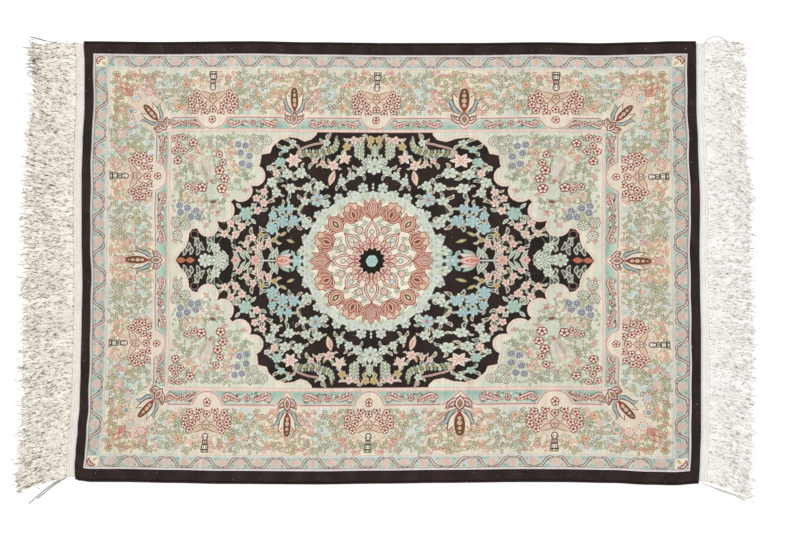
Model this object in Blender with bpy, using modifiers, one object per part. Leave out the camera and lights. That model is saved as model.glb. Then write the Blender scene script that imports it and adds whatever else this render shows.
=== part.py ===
"""A hand-knotted floral rug with flat-woven ends and long loose fringes, lying flat.

The rug's long side runs along X, its width along Y, and its pile faces up. Metres.
"""
import math
import random

import bmesh
import bpy
from mathutils import Vector

# The knotted cloth, a 0.7 m by 1 m piece
HALF_LENGTH = 0.490
HALF_WIDTH = 0.352
PILE_TOP = 0.0052
PILE_UNEVENNESS = 0.00035
RIM_BEVEL = 0.0009

# Waves of the pile's unevenness, in radians over half the length or width
SWELL_ALONG = 5.3
SWELL_LEAN = 2.1
SWELL_ACROSS = 6.1

# The overcast edge cord along each long side
CORD_WIDTH = 0.0030
CORD_TOP = 0.0044
GROOVE_TOP = 0.0032
PILE_START = 0.0051

# Flat-woven end and the knotting row that the fringe hangs from
FIT_GAP = 0.0003
KILIM_WIDTH = 0.0105
KILIM_TOP = 0.0020
ROW_WIDTH = 0.0030
ROW_TOP = 0.0026
END_SPAN = 0.994

# Fringe locks, three-sided, lying on their flat side
LOCKS = 150
LOCK_SPAN = 0.988
LOCK_STEPS = 4
LOCK_WIDTH = 0.0031
LOCK_HEIGHT = 0.0021
LOCK_TIP = 0.45
ROOT_LIFT = 0.0004
ROOT_DEPTH = 0.0012
LENGTH_SPREAD = 0.06
FRINGE_SEEDS = {-1: 7, 1: 11}

# How a lock turns: the share of its swing at the root, the gain along it, and its wave in degrees
ROOT_SWING = 0.35
SWING_GAIN = 1.3
WAVE = 4
WAVE_SPREAD = 1.2
WAVE_ALONG_END = 9

# Stations of the cloth's grid, along its length and width
LENGTH_SECTIONS = 30
WIDTH_SECTIONS = 16

# How far each edge stands out of its nominal line: (place along the edge from -1 to 1, outwards in mm)
FAR_EDGE = ((-1.0, 1.6), (-0.75, 0.4), (-0.45, 1.6), (-0.26, 0.0), (0.02, -1.3), (0.28, -1.2),
            (0.49, 0.0), (0.68, -1.5), (0.84, 0.2), (0.92, 1.6), (1.0, 1.6))
NEAR_EDGE = ((-1.0, -7.0), (-0.985, -4.4), (-0.95, -2.4), (-0.85, -2.3), (-0.69, -0.8), (-0.53, 0.8),
             (-0.22, 1.6), (-0.02, 0.4), (0.17, -0.8), (0.45, -2.2), (0.56, -2.0), (0.72, -0.6),
             (0.84, 2.2), (0.92, 3.0), (1.0, 0.4))
LEFT_EDGE = ((-1.0, 10.4), (-0.94, 10.8), (-0.88, 9.2), (-0.77, 6.0), (-0.66, 2.8), (-0.5, 1.2),
             (-0.28, -0.4), (-0.11, -1.6), (0.1, -0.4), (0.38, -0.4), (0.54, -2.0), (0.7, -5.0),
             (0.9, -5.2), (1.0, -3.4))
RIGHT_EDGE = ((-1.0, 4.4), (-0.88, 6.2), (-0.77, 7.6), (-0.33, 7.6), (-0.11, 6.0), (0.05, 5.2),
              (0.27, 6.0), (0.54, 2.8), (0.7, 0.4), (1.0, 0.0))

# How each fringe lies: (place along the end, length in mm, swing of the tips towards the far side in degrees)
LEFT_FRINGE = ((-1.0, 84, -21), (-0.9, 88, -22), (-0.75, 87, -12), (-0.5, 87, -4), (-0.2, 86, 3),
               (0.1, 84, -2), (0.4, 82, 4), (0.62, 80, 17), (0.78, 80, 24), (0.9, 77, 14), (1.0, 76, 2))
RIGHT_FRINGE = ((-1.0, 73, -24), (-0.85, 70, -22), (-0.6, 70, -14), (-0.3, 68, -5), (0.0, 68, 3),
                (0.3, 68, -5), (0.6, 67, -13), (0.8, 64, -20), (0.93, 62, -12), (1.0, 62, -3))

MM = 0.001
DARK_WOOL = (0.045, 0.032, 0.028)
COTTON = (0.78, 0.75, 0.70)


def eased(table, place, column=1):
    """The table's value at a place, eased from row to row."""
    for low, high in zip(table, table[1:]):
        if place <= high[0]:
            share = (place - low[0]) / (high[0] - low[0])
            share = share * share * (3 - 2 * share)
            return low[column] + share * (high[column] - low[column])
    return table[-1][column]


def end_x(side, place):
    """The cloth's end line at a place across the width: side is -1 on the left and 1 on the right."""
    edge = LEFT_EDGE if side < 0 else RIGHT_EDGE
    return side * (HALF_LENGTH + eased(edge, place) * MM)


def cloth_point(along, across):
    """The point of the cloth at shares from -1 to 1 of its length and width."""
    left, right = end_x(-1, across), end_x(1, across)
    near = -HALF_WIDTH - eased(NEAR_EDGE, along) * MM
    far = HALF_WIDTH + eased(FAR_EDGE, along) * MM
    x = left + (right - left) * (along + 1) / 2
    y = near + (far - near) * (across + 1) / 2
    return Vector((x, y, 0))


def material(name, colour, roughness):
    """A plain finish."""
    made = bpy.data.materials.new(name)
    made.use_nodes = True
    shader = made.node_tree.nodes["Principled BSDF"]
    shader.inputs["Base Color"].default_value = (*colour, 1)
    shader.inputs["Roughness"].default_value = roughness
    shader.inputs["Metallic"].default_value = 0
    return made


def add_object(name, mesh, collection, finish):
    """A named object for one piece of the rug."""
    made = bpy.data.objects.new(name, mesh)
    made.data.materials.append(finish)
    collection.objects.link(made)
    return made


def round_rim(obj, width):
    """Takes the sharp corner off the rim."""
    bevel = obj.modifiers.new("rounded_rim", "BEVEL")
    bevel.width = width
    bevel.segments = 1
    bevel.limit_method = "ANGLE"
    bevel.angle_limit = math.radians(40)


def raised_sheet(name, columns, rows, place, top):
    """A mesh of a sheet with a flat underside at height 0.

    place gives a grid point's (x, y) from its column and row, and top its upper height.
    """
    bm = bmesh.new()
    bmesh.ops.create_grid(bm, x_segments=columns, y_segments=rows, size=1)
    for vert in bm.verts:
        column = round((vert.co.x + 1) / 2 * columns)
        row = round((vert.co.y + 1) / 2 * rows)
        vert.co = place(column, row)
        vert.co.z = top(column, row)
    made = bmesh.ops.extrude_face_region(bm, geom=bm.faces[:])["geom"]
    floor = [item for item in made if isinstance(item, bmesh.types.BMVert)]
    for vert in floor:
        vert.co.z = 0
    bmesh.ops.recalc_face_normals(bm, faces=bm.faces[:])
    inner_floor = [vert for vert in floor if all(face.normal.z < -0.9 for face in vert.link_faces)]
    bmesh.ops.dissolve_verts(bm, verts=inner_floor)
    mesh = bpy.data.meshes.new(name)
    bm.to_mesh(mesh)
    bm.free()
    return mesh


def width_stations():
    """Places across the width, with the edge cord's crown and groove at each long side."""
    crown = 1 - CORD_WIDTH / 2 / HALF_WIDTH
    groove = 1 - CORD_WIDTH / HALF_WIDTH
    start = 1 - PILE_START / HALF_WIDTH
    pile = [start * (2 * k / WIDTH_SECTIONS - 1) for k in range(WIDTH_SECTIONS + 1)]
    return [-1, -crown, -groove, *pile, groove, crown, 1]


def make_pile(collection):
    """The knotted cloth in one piece, its pile a little uneven, with its edge cords."""
    across = width_stations()
    along = [2 * k / LENGTH_SECTIONS - 1 for k in range(LENGTH_SECTIONS + 1)]
    last = len(across) - 1
    cord_heights = {0: GROOVE_TOP, 1: CORD_TOP, 2: GROOVE_TOP}

    def place(column, row):
        return cloth_point(along[column], across[row])

    def top(column, row):
        from_side = min(row, last - row)
        if from_side in cord_heights:
            return cord_heights[from_side]
        swell = math.sin(SWELL_ALONG * along[column] + SWELL_LEAN * across[row])
        swell *= math.cos(SWELL_ACROSS * across[row])
        return PILE_TOP + PILE_UNEVENNESS * swell

    mesh = raised_sheet("rug_pile", LENGTH_SECTIONS, last, place, top)
    finish = material("dark_brown_wool", DARK_WOOL, 0.9)
    round_rim(add_object("rug_pile", mesh, collection, finish), RIM_BEVEL)


def make_end_strip(name, side, start, width, height, collection, finish):
    """A strip across one end. start is its distance from the cloth's end line."""
    across = [-END_SPAN, *(at for at in width_stations() if abs(at) < END_SPAN), END_SPAN]

    def place(column, row):
        x = end_x(side, across[row]) + side * (start + width * column)
        return Vector((x, cloth_point(side, across[row]).y, 0))

    mesh = raised_sheet(name, 1, len(across) - 1, place, lambda column, row: height)
    return add_object(name, mesh, collection, finish)


def lock_route(side, place, swing, length, rng):
    """The points of one fringe lock from its root in the knotting row to its tip."""
    root_y = cloth_point(side, place).y
    root_x = end_x(side, place) + side * (2 * FIT_GAP + KILIM_WIDTH + ROW_WIDTH - ROOT_DEPTH)
    step = length / LOCK_STEPS
    at = Vector((root_x, root_y, ROOT_LIFT))
    wave = WAVE * math.sin(WAVE_ALONG_END * place) + rng.uniform(-WAVE_SPREAD, WAVE_SPREAD)
    points = [at.copy()]
    for k in range(LOCK_STEPS):
        share = (k + 0.5) / LOCK_STEPS
        turn = swing * min(1, ROOT_SWING + SWING_GAIN * share) + wave * math.sin(2 * math.pi * share)
        heading = math.radians(turn)
        at = at + Vector((side * math.cos(heading), math.sin(heading), 0)) * step
        points.append(Vector((at.x, at.y, 0)))
    return points


def lock_profile():
    """A triangle with its flat side down, swept along each lock."""
    curve = bpy.data.curves.new("lock_profile", "CURVE")
    curve.dimensions = "2D"
    spline = curve.splines.new("POLY")
    spline.points.add(2)
    corners = ((-LOCK_WIDTH / 2, 0), (LOCK_WIDTH / 2, 0), (0, LOCK_HEIGHT))
    for point, (x, y) in zip(spline.points, corners):
        point.co = (x, y, 0, 1)
    spline.use_cyclic_u = True
    profile = bpy.data.objects.new("lock_profile", curve)
    profile.hide_render = True
    profile.display_type = "WIRE"
    return profile


def lock_curve(side, table, profile):
    """The curve of all locks of one fringe, swept by the profile and capped."""
    rng = random.Random(FRINGE_SEEDS[side])
    curve = bpy.data.curves.new("locks", "CURVE")
    curve.dimensions = "3D"
    curve.twist_mode = "Z_UP"
    curve.bevel_mode = "OBJECT"
    curve.bevel_object = profile
    curve.use_fill_caps = True
    for k in range(LOCKS):
        place = LOCK_SPAN * (2 * k / (LOCKS - 1) - 1)
        length = eased(table, place) * MM * (1 + rng.uniform(-LENGTH_SPREAD, LENGTH_SPREAD))
        route = lock_route(side, place, eased(table, place, 2), length, rng)
        spline = curve.splines.new("POLY")
        spline.points.add(len(route) - 1)
        for index, (point, co) in enumerate(zip(spline.points, route)):
            point.co = (*co, 1)
            point.radius = 1 - (1 - LOCK_TIP) * (index / LOCK_STEPS) ** 2
    return curve


def make_locks(side, table, profile, cutters):
    """All locks of one fringe as a single mesh object of separate closed bodies."""
    swept = bpy.data.objects.new("swept_locks", lock_curve(side, table, profile))
    cutters.objects.link(swept)
    bpy.context.view_layer.update()
    graph = bpy.context.evaluated_depsgraph_get()
    mesh = bpy.data.meshes.new_from_object(swept.evaluated_get(graph))
    bpy.data.objects.remove(swept)
    bm = bmesh.new()
    bm.from_mesh(mesh)
    bmesh.ops.remove_doubles(bm, verts=bm.verts[:], dist=1e-6)
    bmesh.ops.recalc_face_normals(bm, faces=bm.faces[:])
    bm.to_mesh(mesh)
    bm.free()
    locks = bpy.data.objects.new("locks_of_one_end", mesh)
    locks.hide_render = True
    locks.display_type = "WIRE"
    cutters.objects.link(locks)
    return locks


def make_end(side, label, table, profile, collection, cutters):
    """One end of the rug: the flat-woven strip, then the knotting row with its fringe."""
    wool = material("undyed_cotton_" + label, COTTON, 0.85)
    make_end_strip("kilim_" + label, side, FIT_GAP, KILIM_WIDTH, KILIM_TOP, collection, wool)
    start = 2 * FIT_GAP + KILIM_WIDTH
    row = make_end_strip("fringe_" + label, side, start, ROW_WIDTH, ROW_TOP, collection, wool)
    join = row.modifiers.new("fused_roots", "BOOLEAN")
    join.operation = "UNION"
    join.solver = "EXACT"
    join.object = make_locks(side, table, profile, cutters)


def centre_footprint(collection):
    """Moves the whole rug so that its footprint's centre is the origin."""
    bpy.context.view_layer.update()
    graph = bpy.context.evaluated_depsgraph_get()
    corners = []
    for obj in collection.objects:
        shown = obj.evaluated_get(graph)
        corners += [shown.matrix_world @ Vector(corner) for corner in shown.bound_box]
    middle_x = (min(c.x for c in corners) + max(c.x for c in corners)) / 2
    middle_y = (min(c.y for c in corners) + max(c.y for c in corners)) / 2
    for obj in bpy.data.objects:
        obj.location -= Vector((middle_x, middle_y, 0))


def main():
    """Builds the rug."""
    for obj in list(bpy.data.objects):
        bpy.data.objects.remove(obj)
    rug = bpy.data.collections.new("floral_rug")
    cutters = bpy.data.collections.new("helpers")
    bpy.context.scene.collection.children.link(rug)
    bpy.context.scene.collection.children.link(cutters)
    profile = lock_profile()
    cutters.objects.link(profile)
    make_pile(rug)
    make_end(-1, "left", LEFT_FRINGE, profile, rug, cutters)
    make_end(1, "right", RIGHT_FRINGE, profile, rug, cutters)
    centre_footprint(rug)


main()
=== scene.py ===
"""A hand-knotted floral medallion rug with fringed ends, lying flat on a pale floor.

The rug's length runs along X and its width along Y, and its pile faces up. Sizes are in metres. The design is
drawn on a knotting chart, which counts chart squares from the rug's middle and covers a quarter of the rug.
"""
import logging
import math
from dataclasses import dataclass, field, replace
from enum import Enum
from itertools import pairwise

import bpy
import numpy as np
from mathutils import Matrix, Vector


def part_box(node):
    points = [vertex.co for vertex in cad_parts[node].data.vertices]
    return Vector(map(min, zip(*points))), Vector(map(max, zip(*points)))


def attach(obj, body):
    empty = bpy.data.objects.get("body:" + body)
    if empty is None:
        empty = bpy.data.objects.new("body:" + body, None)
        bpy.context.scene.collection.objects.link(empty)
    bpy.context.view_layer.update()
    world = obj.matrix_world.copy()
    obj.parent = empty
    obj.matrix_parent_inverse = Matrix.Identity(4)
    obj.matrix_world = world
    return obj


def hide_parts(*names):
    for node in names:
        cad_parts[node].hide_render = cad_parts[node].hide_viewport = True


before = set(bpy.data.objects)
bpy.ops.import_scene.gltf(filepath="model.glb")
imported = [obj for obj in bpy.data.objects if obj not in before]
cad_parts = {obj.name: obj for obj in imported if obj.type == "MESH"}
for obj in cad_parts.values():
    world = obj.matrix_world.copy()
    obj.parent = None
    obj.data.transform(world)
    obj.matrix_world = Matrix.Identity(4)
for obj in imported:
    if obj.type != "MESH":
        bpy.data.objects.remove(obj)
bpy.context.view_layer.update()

log = logging.getLogger("rug")

MM = 0.001
BODY = "root"
Points = list[tuple[float, float]]
Window = tuple[slice, slice]

# How far each edge stands out of its nominal line: (place along the edge from -1 to 1, outwards in mm)
FAR_EDGE = ((-1.0, 1.6), (-0.75, 0.4), (-0.45, 1.6), (-0.26, 0.0), (0.02, -1.3), (0.28, -1.2),
            (0.49, 0.0), (0.68, -1.5), (0.84, 0.2), (0.92, 1.6), (1.0, 1.6))
NEAR_EDGE = ((-1.0, -7.0), (-0.985, -4.4), (-0.95, -2.4), (-0.85, -2.3), (-0.69, -0.8), (-0.53, 0.8),
             (-0.22, 1.6), (-0.02, 0.4), (0.17, -0.8), (0.45, -2.2), (0.56, -2.0), (0.72, -0.6),
             (0.84, 2.2), (0.92, 3.0), (1.0, 0.4))
LEFT_EDGE = ((-1.0, 10.4), (-0.94, 10.8), (-0.88, 9.2), (-0.77, 6.0), (-0.66, 2.8), (-0.5, 1.2),
             (-0.28, -0.4), (-0.11, -1.6), (0.1, -0.4), (0.38, -0.4), (0.54, -2.0), (0.7, -5.0),
             (0.9, -5.2), (1.0, -3.4))
RIGHT_EDGE = ((-1.0, 4.4), (-0.88, 6.2), (-0.77, 7.6), (-0.33, 7.6), (-0.11, 6.0), (0.05, 5.2),
              (0.27, 6.0), (0.54, 2.8), (0.7, 0.4), (1.0, 0.0))
# The design's middle line: (place across the width, mm from the nominal middle)
MIDDLE_LINE = ((-1.0, -33.6), (0.0, -27.2), (1.0, -17.6))
# How each fringe lies: (place along the end, length in mm, swing of the tips towards the far side in degrees)
LEFT_FRINGE = ((-1.0, 88, -17), (-0.9, 90, -24), (-0.78, 89, -21), (-0.6, 87, -16), (-0.4, 86, -9), (-0.1, 86, -6),
               (0.1, 85, -3), (0.24, 84, 3), (0.3, 83, 8), (0.38, 83, 16), (0.5, 81, 20), (0.64, 80, 20),
               (0.655, 82, 26), (0.74, 80, 28), (0.84, 77, 16), (0.91, 77, 6), (1.0, 77, -4))
RIGHT_FRINGE = ((-1.0, 82, -24), (-0.9, 79, -26), (-0.75, 77, -19), (-0.5, 75, -9), (-0.2, 75, -4), (0.1, 74, -3),
                (0.3, 74, -8), (0.42, 75, -18), (0.55, 78, -30), (0.7, 79, -37), (0.8, 75, -26), (0.88, 71, -12),
                (0.94, 70, -4), (1.0, 70, 0))
# Single yarns that lie apart from the fringe, in mm from the design's middle: x outwards and y
LEFT_STRAYS = (((497, 350), (525, 351), (549, 355), (563, 359), (572, 361)),
               ((512, -341), (530, -349), (549, -362), (563, -374), (575, -384)),
               ((516, -343), (535, -355), (550, -367), (561, -376)))
RIGHT_STRAYS = (((502, 347), (510, 357), (522, 361), (534, 357), (540, 348), (542, 336)),
                ((500, -352), (522, -360), (547, -368), (574, -377)),
                ((506, -354), (529, -364), (550, -371), (568, -380)))
# Where the chart's squares lie on the cloth: (mm from the design's middle, chart squares from there)
FAR_LINES = ((0, 0), (104.3, 64.5), (205.3, 130), (231.4, 146.4), (305.0, 192.6), (329.0, 209.4), (349.4, 222))
NEAR_LINES = ((0, 0), (104.2, 64.5), (202.4, 130), (234.6, 146.4), (310.2, 192.6), (334.9, 209.4), (356.5, 222))
LEFT_LINES = ((0, 0), (460.8, 290.6))
RIGHT_LINES = ((0, 0), (80, 50), (102.9, 64.5), (128, 75), (157.6, 88), (226.9, 126.6), (356, 197), (368, 203),
               (509.6, 282.4), (523.2, 290.6))


def eased(table: tuple, place: np.ndarray | float, column: int = 1) -> np.ndarray:
    """A table's values at some places, eased from row to row.

    Args:
        table: Rows that start with the place.
        place: Where the values are wanted.
        column: The column with the values.

    Returns:
        One value for each place.
    """
    rows = np.array(table, float)
    places, values = rows[:, 0], rows[:, column]
    low = np.clip(np.searchsorted(places, place, side="right") - 1, 0, len(places) - 2)
    share = np.clip((place - places[low]) / (places[low + 1] - places[low]), 0, 1)
    share = share * share * (3 - 2 * share)
    return values[low] + share * (values[low + 1] - values[low])


def mix(one: np.ndarray, other: np.ndarray, share: np.ndarray) -> np.ndarray:
    """Colours between two, by a share for each knot."""
    return one + (other - one) * share[..., None]


def sampled(grid: np.ndarray, low_lines: tuple, high_lines: tuple, share: float, squares: float,
            count: int) -> np.ndarray:
    """Spreads a quarter chart's rows over the whole cloth, on both sides of the design's middle.

    Args:
        grid: The quarter's rows, the middle first.
        low_lines: Where its squares lie before the middle.
        high_lines: Where they lie past it.
        share: How much of the cloth is knotted in pile.
        squares: How many squares the quarter has.
        count: How many rows are wanted.

    Returns:
        The whole cloth's rows.
    """
    low, high = low_lines[-1][0], high_lines[-1][0]
    place = (high - low + (low + high) * share * ((np.arange(count) + 0.5) / count * 2 - 1)) / 2
    before, past = np.interp(-place, *zip(*low_lines)), np.interp(place, *zip(*high_lines))
    at = np.clip(np.where(place < 0, before, past) / squares * len(grid) - 0.5, 0, len(grid) - 1.001)
    first = at.astype(int)
    return mix(grid[first], grid[first + 1], (at - first)[:, None])


def linear(colour: tuple[float, float, float]) -> tuple[float, float, float, float]:
    """A colour of 0 to 255 as a shader takes it."""
    shares = [c / 255 for c in colour]
    return (*(s / 12.92 if s < 0.04 else ((s + 0.055) / 1.055) ** 2.4 for s in shares), 1.0)


def smooth(points: Points, steps: int = 5) -> Points:
    """A soft curve through some points.

    Args:
        points: Where the curve passes.
        steps: How many pieces each stretch gets.

    Returns:
        The curve's points.
    """
    ends = [points[0], *points, points[-1]]
    curve = []
    for p0, p1, p2, p3 in zip(ends, ends[1:], ends[2:], ends[3:]):
        for k in range(steps):
            t = k / steps
            curve.append(tuple(
                0.5 * (2 * q1 + (q2 - q0) * t + (2 * q0 - 5 * q1 + 4 * q2 - q3) * t * t
                       + (3 * q1 - q0 - 3 * q2 + q3) * t ** 3)
                for q0, q1, q2, q3 in zip(p0, p1, p2, p3)))
    return [*curve, points[-1]]


class Dye(Enum):
    """The wool's dyes as they look in daylight, each channel from 0 to 255."""

    NIGHT = (40, 34, 31)
    BAND = (56, 44, 41)
    IVORY = (222, 216, 196)
    CREAM = (236, 225, 204)
    BEIGE = (228, 215, 193)
    MIST = (206, 212, 192)
    ICE = (206, 212, 205)
    WHITE = (210, 216, 202)
    AQUA = (172, 198, 182)
    TEAL = (126, 158, 146)
    SKY = (170, 199, 195)
    STEEL = (122, 146, 150)
    INDIGO = (72, 80, 108)
    PINK = (219, 185, 171)
    BLUSH = (230, 209, 195)
    ROSE = (192, 126, 116)
    MADDER = (150, 68, 62)
    WINE = (106, 64, 60)
    CORAL = (204, 116, 94)
    RUST = (166, 102, 72)
    BROWN = (116, 78, 52)
    PEACH = (224, 194, 168)
    ORANGE = (206, 150, 114)
    OLIVE = (142, 140, 100)
    SAGE = (142, 152, 124)
    MOSS = (112, 124, 90)
    GREY = (118, 116, 108)
    LILAC = (212, 202, 202)
    GOLD = (204, 180, 126)
    SHADE = (74, 74, 58)

    @property
    def rgb(self) -> np.ndarray:
        """The dye as shares of 1."""
        return np.array(self.value) / 255


@dataclass(frozen=True)
class Spot:
    """A motif's foot on the chart, and the direction in which it grows, in degrees."""

    a: float
    b: float
    turn: float = 0.0

    def on(self, ahead: float, aside: float = 0.0, turn: float = 0.0) -> "Spot":
        """A spot further ahead and aside of this one.

        Args:
            ahead: How far on in the direction of growth.
            aside: How far to its left.
            turn: How much the new direction differs.

        Returns:
            The new spot.
        """
        c, s = math.cos(math.radians(self.turn)), math.sin(math.radians(self.turn))
        return Spot(self.a + ahead * c - aside * s, self.b + ahead * s + aside * c, self.turn + turn)

    def to(self, turn: float) -> "Spot":
        """The same spot, turned by some degrees."""
        return replace(self, turn=self.turn + turn)


@dataclass
class KnotChart:
    """A quarter of the knotting chart: a along the rug and b across it, from its middle."""

    length: float
    width: float
    columns: int
    rows: int
    along: np.ndarray = field(init=False)
    across: np.ndarray = field(init=False)
    a: np.ndarray = field(init=False)
    b: np.ndarray = field(init=False)
    wool: np.ndarray = field(init=False)

    def __post_init__(self) -> None:
        """Sets out the knots."""
        self.along = (np.arange(self.columns) + 0.5) * self.length / self.columns
        self.across = (np.arange(self.rows) + 0.5) * self.width / self.rows
        self.a, self.b = np.meshgrid(self.along, self.across)
        self.wool = np.zeros((self.rows, self.columns, 3))

    def window(self, a: float, b: float, reach: float) -> Window:
        """The rows and columns near a place.

        Args:
            a: The place along the rug.
            b: The place across it.
            reach: How far the window goes from there.

        Returns:
            Its rows and columns.
        """
        return (slice(*np.searchsorted(self.across, (b - reach, b + reach))),
                slice(*np.searchsorted(self.along, (a - reach, a + reach))))

    def around(self, spot: Spot, reach: float) -> tuple[Window, np.ndarray, np.ndarray]:
        """The knots near a spot.

        Args:
            spot: The spot.
            reach: How far the knots are wanted.

        Returns:
            Their window, and how far each lies ahead of the spot and beside it.
        """
        win = self.window(spot.a, spot.b, reach + 1)
        c, s = math.cos(math.radians(spot.turn)), math.sin(math.radians(spot.turn))
        da, db = self.a[win] - spot.a, self.b[win] - spot.b
        return win, da * c + db * s, db * c - da * s

    def lay(self, win: Window, gap: np.ndarray, dye: Dye, cover: float = 1.0) -> None:
        """Blends a dye into the knots of a window, softly at the patch's edge.

        Args:
            win: The window.
            gap: How far each knot lies inside the patch.
            dye: The patch's dye.
            cover: How much of the ground it hides.
        """
        share = np.clip(gap * 2.2 + 0.5, 0, 1)[..., None] * cover
        patch = self.wool[win]
        patch += (dye.rgb - patch) * share

    def disc(self, spot: Spot, radius: float, dye: Dye, cover: float = 1.0) -> None:
        """A round patch."""
        win, x, y = self.around(spot, radius)
        self.lay(win, radius - np.hypot(x, y), dye, cover)

    def ring(self, spot: Spot, radius: float, width: float, dye: Dye, cover: float = 1.0) -> None:
        """A round line inside a radius."""
        win, x, y = self.around(spot, radius)
        self.lay(win, width / 2 - np.abs(np.hypot(x, y) - radius + width / 2), dye, cover)

    def oval(self, spot: Spot, long: float, short: float, dye: Dye, cover: float = 1.0) -> None:
        """An oval patch, its long half-axis ahead."""
        win, x, y = self.around(spot, max(long, short))
        self.lay(win, (1 - np.hypot(x / long, y / short)) * min(long, short), dye, cover)

    def lobes(self, spot: Spot, radius: float, count: int, depth: float, dye: Dye, cover: float = 1.0) -> None:
        """A patch with round lobes, each depth of the radius deep."""
        win, x, y = self.around(spot, radius)
        edge = radius * (1 - depth + depth * np.abs(np.cos(count / 2 * np.arctan2(y, x))))
        self.lay(win, edge - np.hypot(x, y), dye, cover)

    def petal(self, spot: Spot, length: float, width: float, dye: Dye, belly: float = 1.0,
              cover: float = 1.0) -> None:
        """A pointed patch that grows ahead from its foot.

        Args:
            spot: Its foot.
            length: Its length.
            width: Its greatest width.
            dye: Its dye.
            belly: Above 1 it is widest near its tip, and below 1 near its foot.
            cover: How much of the ground it hides.
        """
        win, x, y = self.around(spot, length)
        share = np.clip(x / length, 0, 1)
        gap = width / 2 * np.sin(math.pi * share ** belly) - np.abs(y)
        self.lay(win, np.where((x > 0) & (x < length), gap, -1), dye, cover)

    def leaf(self, spot: Spot, length: float, width: float, line: Dye, heart: Dye, belly: float = 1.0,
             cover: float = 1.0) -> None:
        """A petal in an outline.

        Args:
            spot: Its foot.
            length: Its length.
            width: Its greatest width.
            line: The outline's dye.
            heart: The dye inside it.
            belly: As for a petal.
            cover: How much of the ground the outline hides.
        """
        self.petal(spot, length, width, line, belly, cover)
        self.petal(spot.on(1.0), length - 2.2, width - 1.9, heart, belly, min(1.0, cover + 0.15))

    def block(self, spot: Spot, long: float, short: float, dye: Dye, cover: float = 1.0) -> None:
        """A four-cornered patch, half its length ahead and half its width aside."""
        win, x, y = self.around(spot, max(long, short))
        self.lay(win, np.minimum(long - np.abs(x), short - np.abs(y)), dye, cover)

    def stroke(self, points: Points, width: float, dye: Dye, cover: float = 1.0) -> None:
        """A line through some points.

        Args:
            points: Where it passes.
            width: Its width.
            dye: Its dye.
            cover: How much of the ground it hides.
        """
        (low_a, low_b), (high_a, high_b) = np.min(points, axis=0), np.max(points, axis=0)
        reach = max(high_a - low_a, high_b - low_b) / 2 + width + 1
        whole = self.window((low_a + high_a) / 2, (low_b + high_b) / 2, reach)
        nearest = np.full(self.a.shape, 1e3)
        for (a0, b0), (a1, b1) in pairwise(points):
            da, db = a1 - a0, b1 - b0
            win = self.window((a0 + a1) / 2, (b0 + b1) / 2, max(abs(da), abs(db)) / 2 + width + 1)
            size = max(da * da + db * db, 1e-9)
            at = np.clip(((self.a[win] - a0) * da + (self.b[win] - b0) * db) / size, 0, 1)
            far = np.hypot(self.a[win] - a0 - at * da, self.b[win] - b0 - at * db)
            nearest[win] = np.minimum(nearest[win], far)
        self.lay(whole, width / 2 - nearest[whole], dye, cover)

    def vine(self, spots: list[Spot], width: float, dye: Dye, cover: float = 1.0) -> None:
        """A curved line through some spots."""
        self.stroke(smooth([(spot.a, spot.b) for spot in spots]), width, dye, cover)

    def plume(self, spots: list[Spot], width: float, dye: Dye, belly: float = 1.0, cover: float = 1.0) -> None:
        """A curved leaf along some spots, pointed at both ends.

        Args:
            spots: Where its middle line passes.
            width: Its greatest width.
            dye: Its dye.
            belly: As for a petal.
            cover: How much of the ground it hides.
        """
        points = np.array(smooth([(spot.a, spot.b) for spot in spots], 7))
        low, high = points.min(axis=0), points.max(axis=0)
        win = self.window(*(low + high) / 2, max(high - low) / 2 + width)
        gap = np.full(self.a[win].shape, -9.0)
        for share, (a, b) in zip(np.linspace(0, 1, len(points)), points):
            radius = width / 2 * math.sin(math.pi * share ** belly)
            gap = np.maximum(gap, radius - np.hypot(self.a[win] - a, self.b[win] - b))
        self.lay(win, gap, dye, cover)

    def within(self, points: Points) -> np.ndarray:
        """A mask of the knots inside an outline.

        Args:
            points: The outline's corners.

        Returns:
            True where a knot lies inside.
        """
        inside = np.zeros(self.a.shape, bool)
        for (a0, b0), (a1, b1) in zip(points, [*points[1:], points[0]]):
            if b0 != b1:
                crossed = (b0 > self.b) != (b1 > self.b)
                inside ^= crossed & (self.a < a0 + (self.b - b0) * (a1 - a0) / (b1 - b0))
        return inside

    def ripple(self, size: float, seed: int) -> np.ndarray:
        """A soft uneven field.

        Args:
            size: The length of its waves.
            seed: Which field.

        Returns:
            A value from 0 to 1 for each knot.
        """
        rng = np.random.default_rng(seed)
        total = np.zeros(self.a.shape)
        for _ in range(7):
            turn, phase = rng.uniform(0, 2 * math.pi, 2)
            wave = size * rng.uniform(0.6, 1.6)
            total += np.sin((self.a * math.cos(turn) + self.b * math.sin(turn)) * 2 * math.pi / wave + phase)
        return np.clip(0.5 + total / 7, 0, 1)


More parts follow.
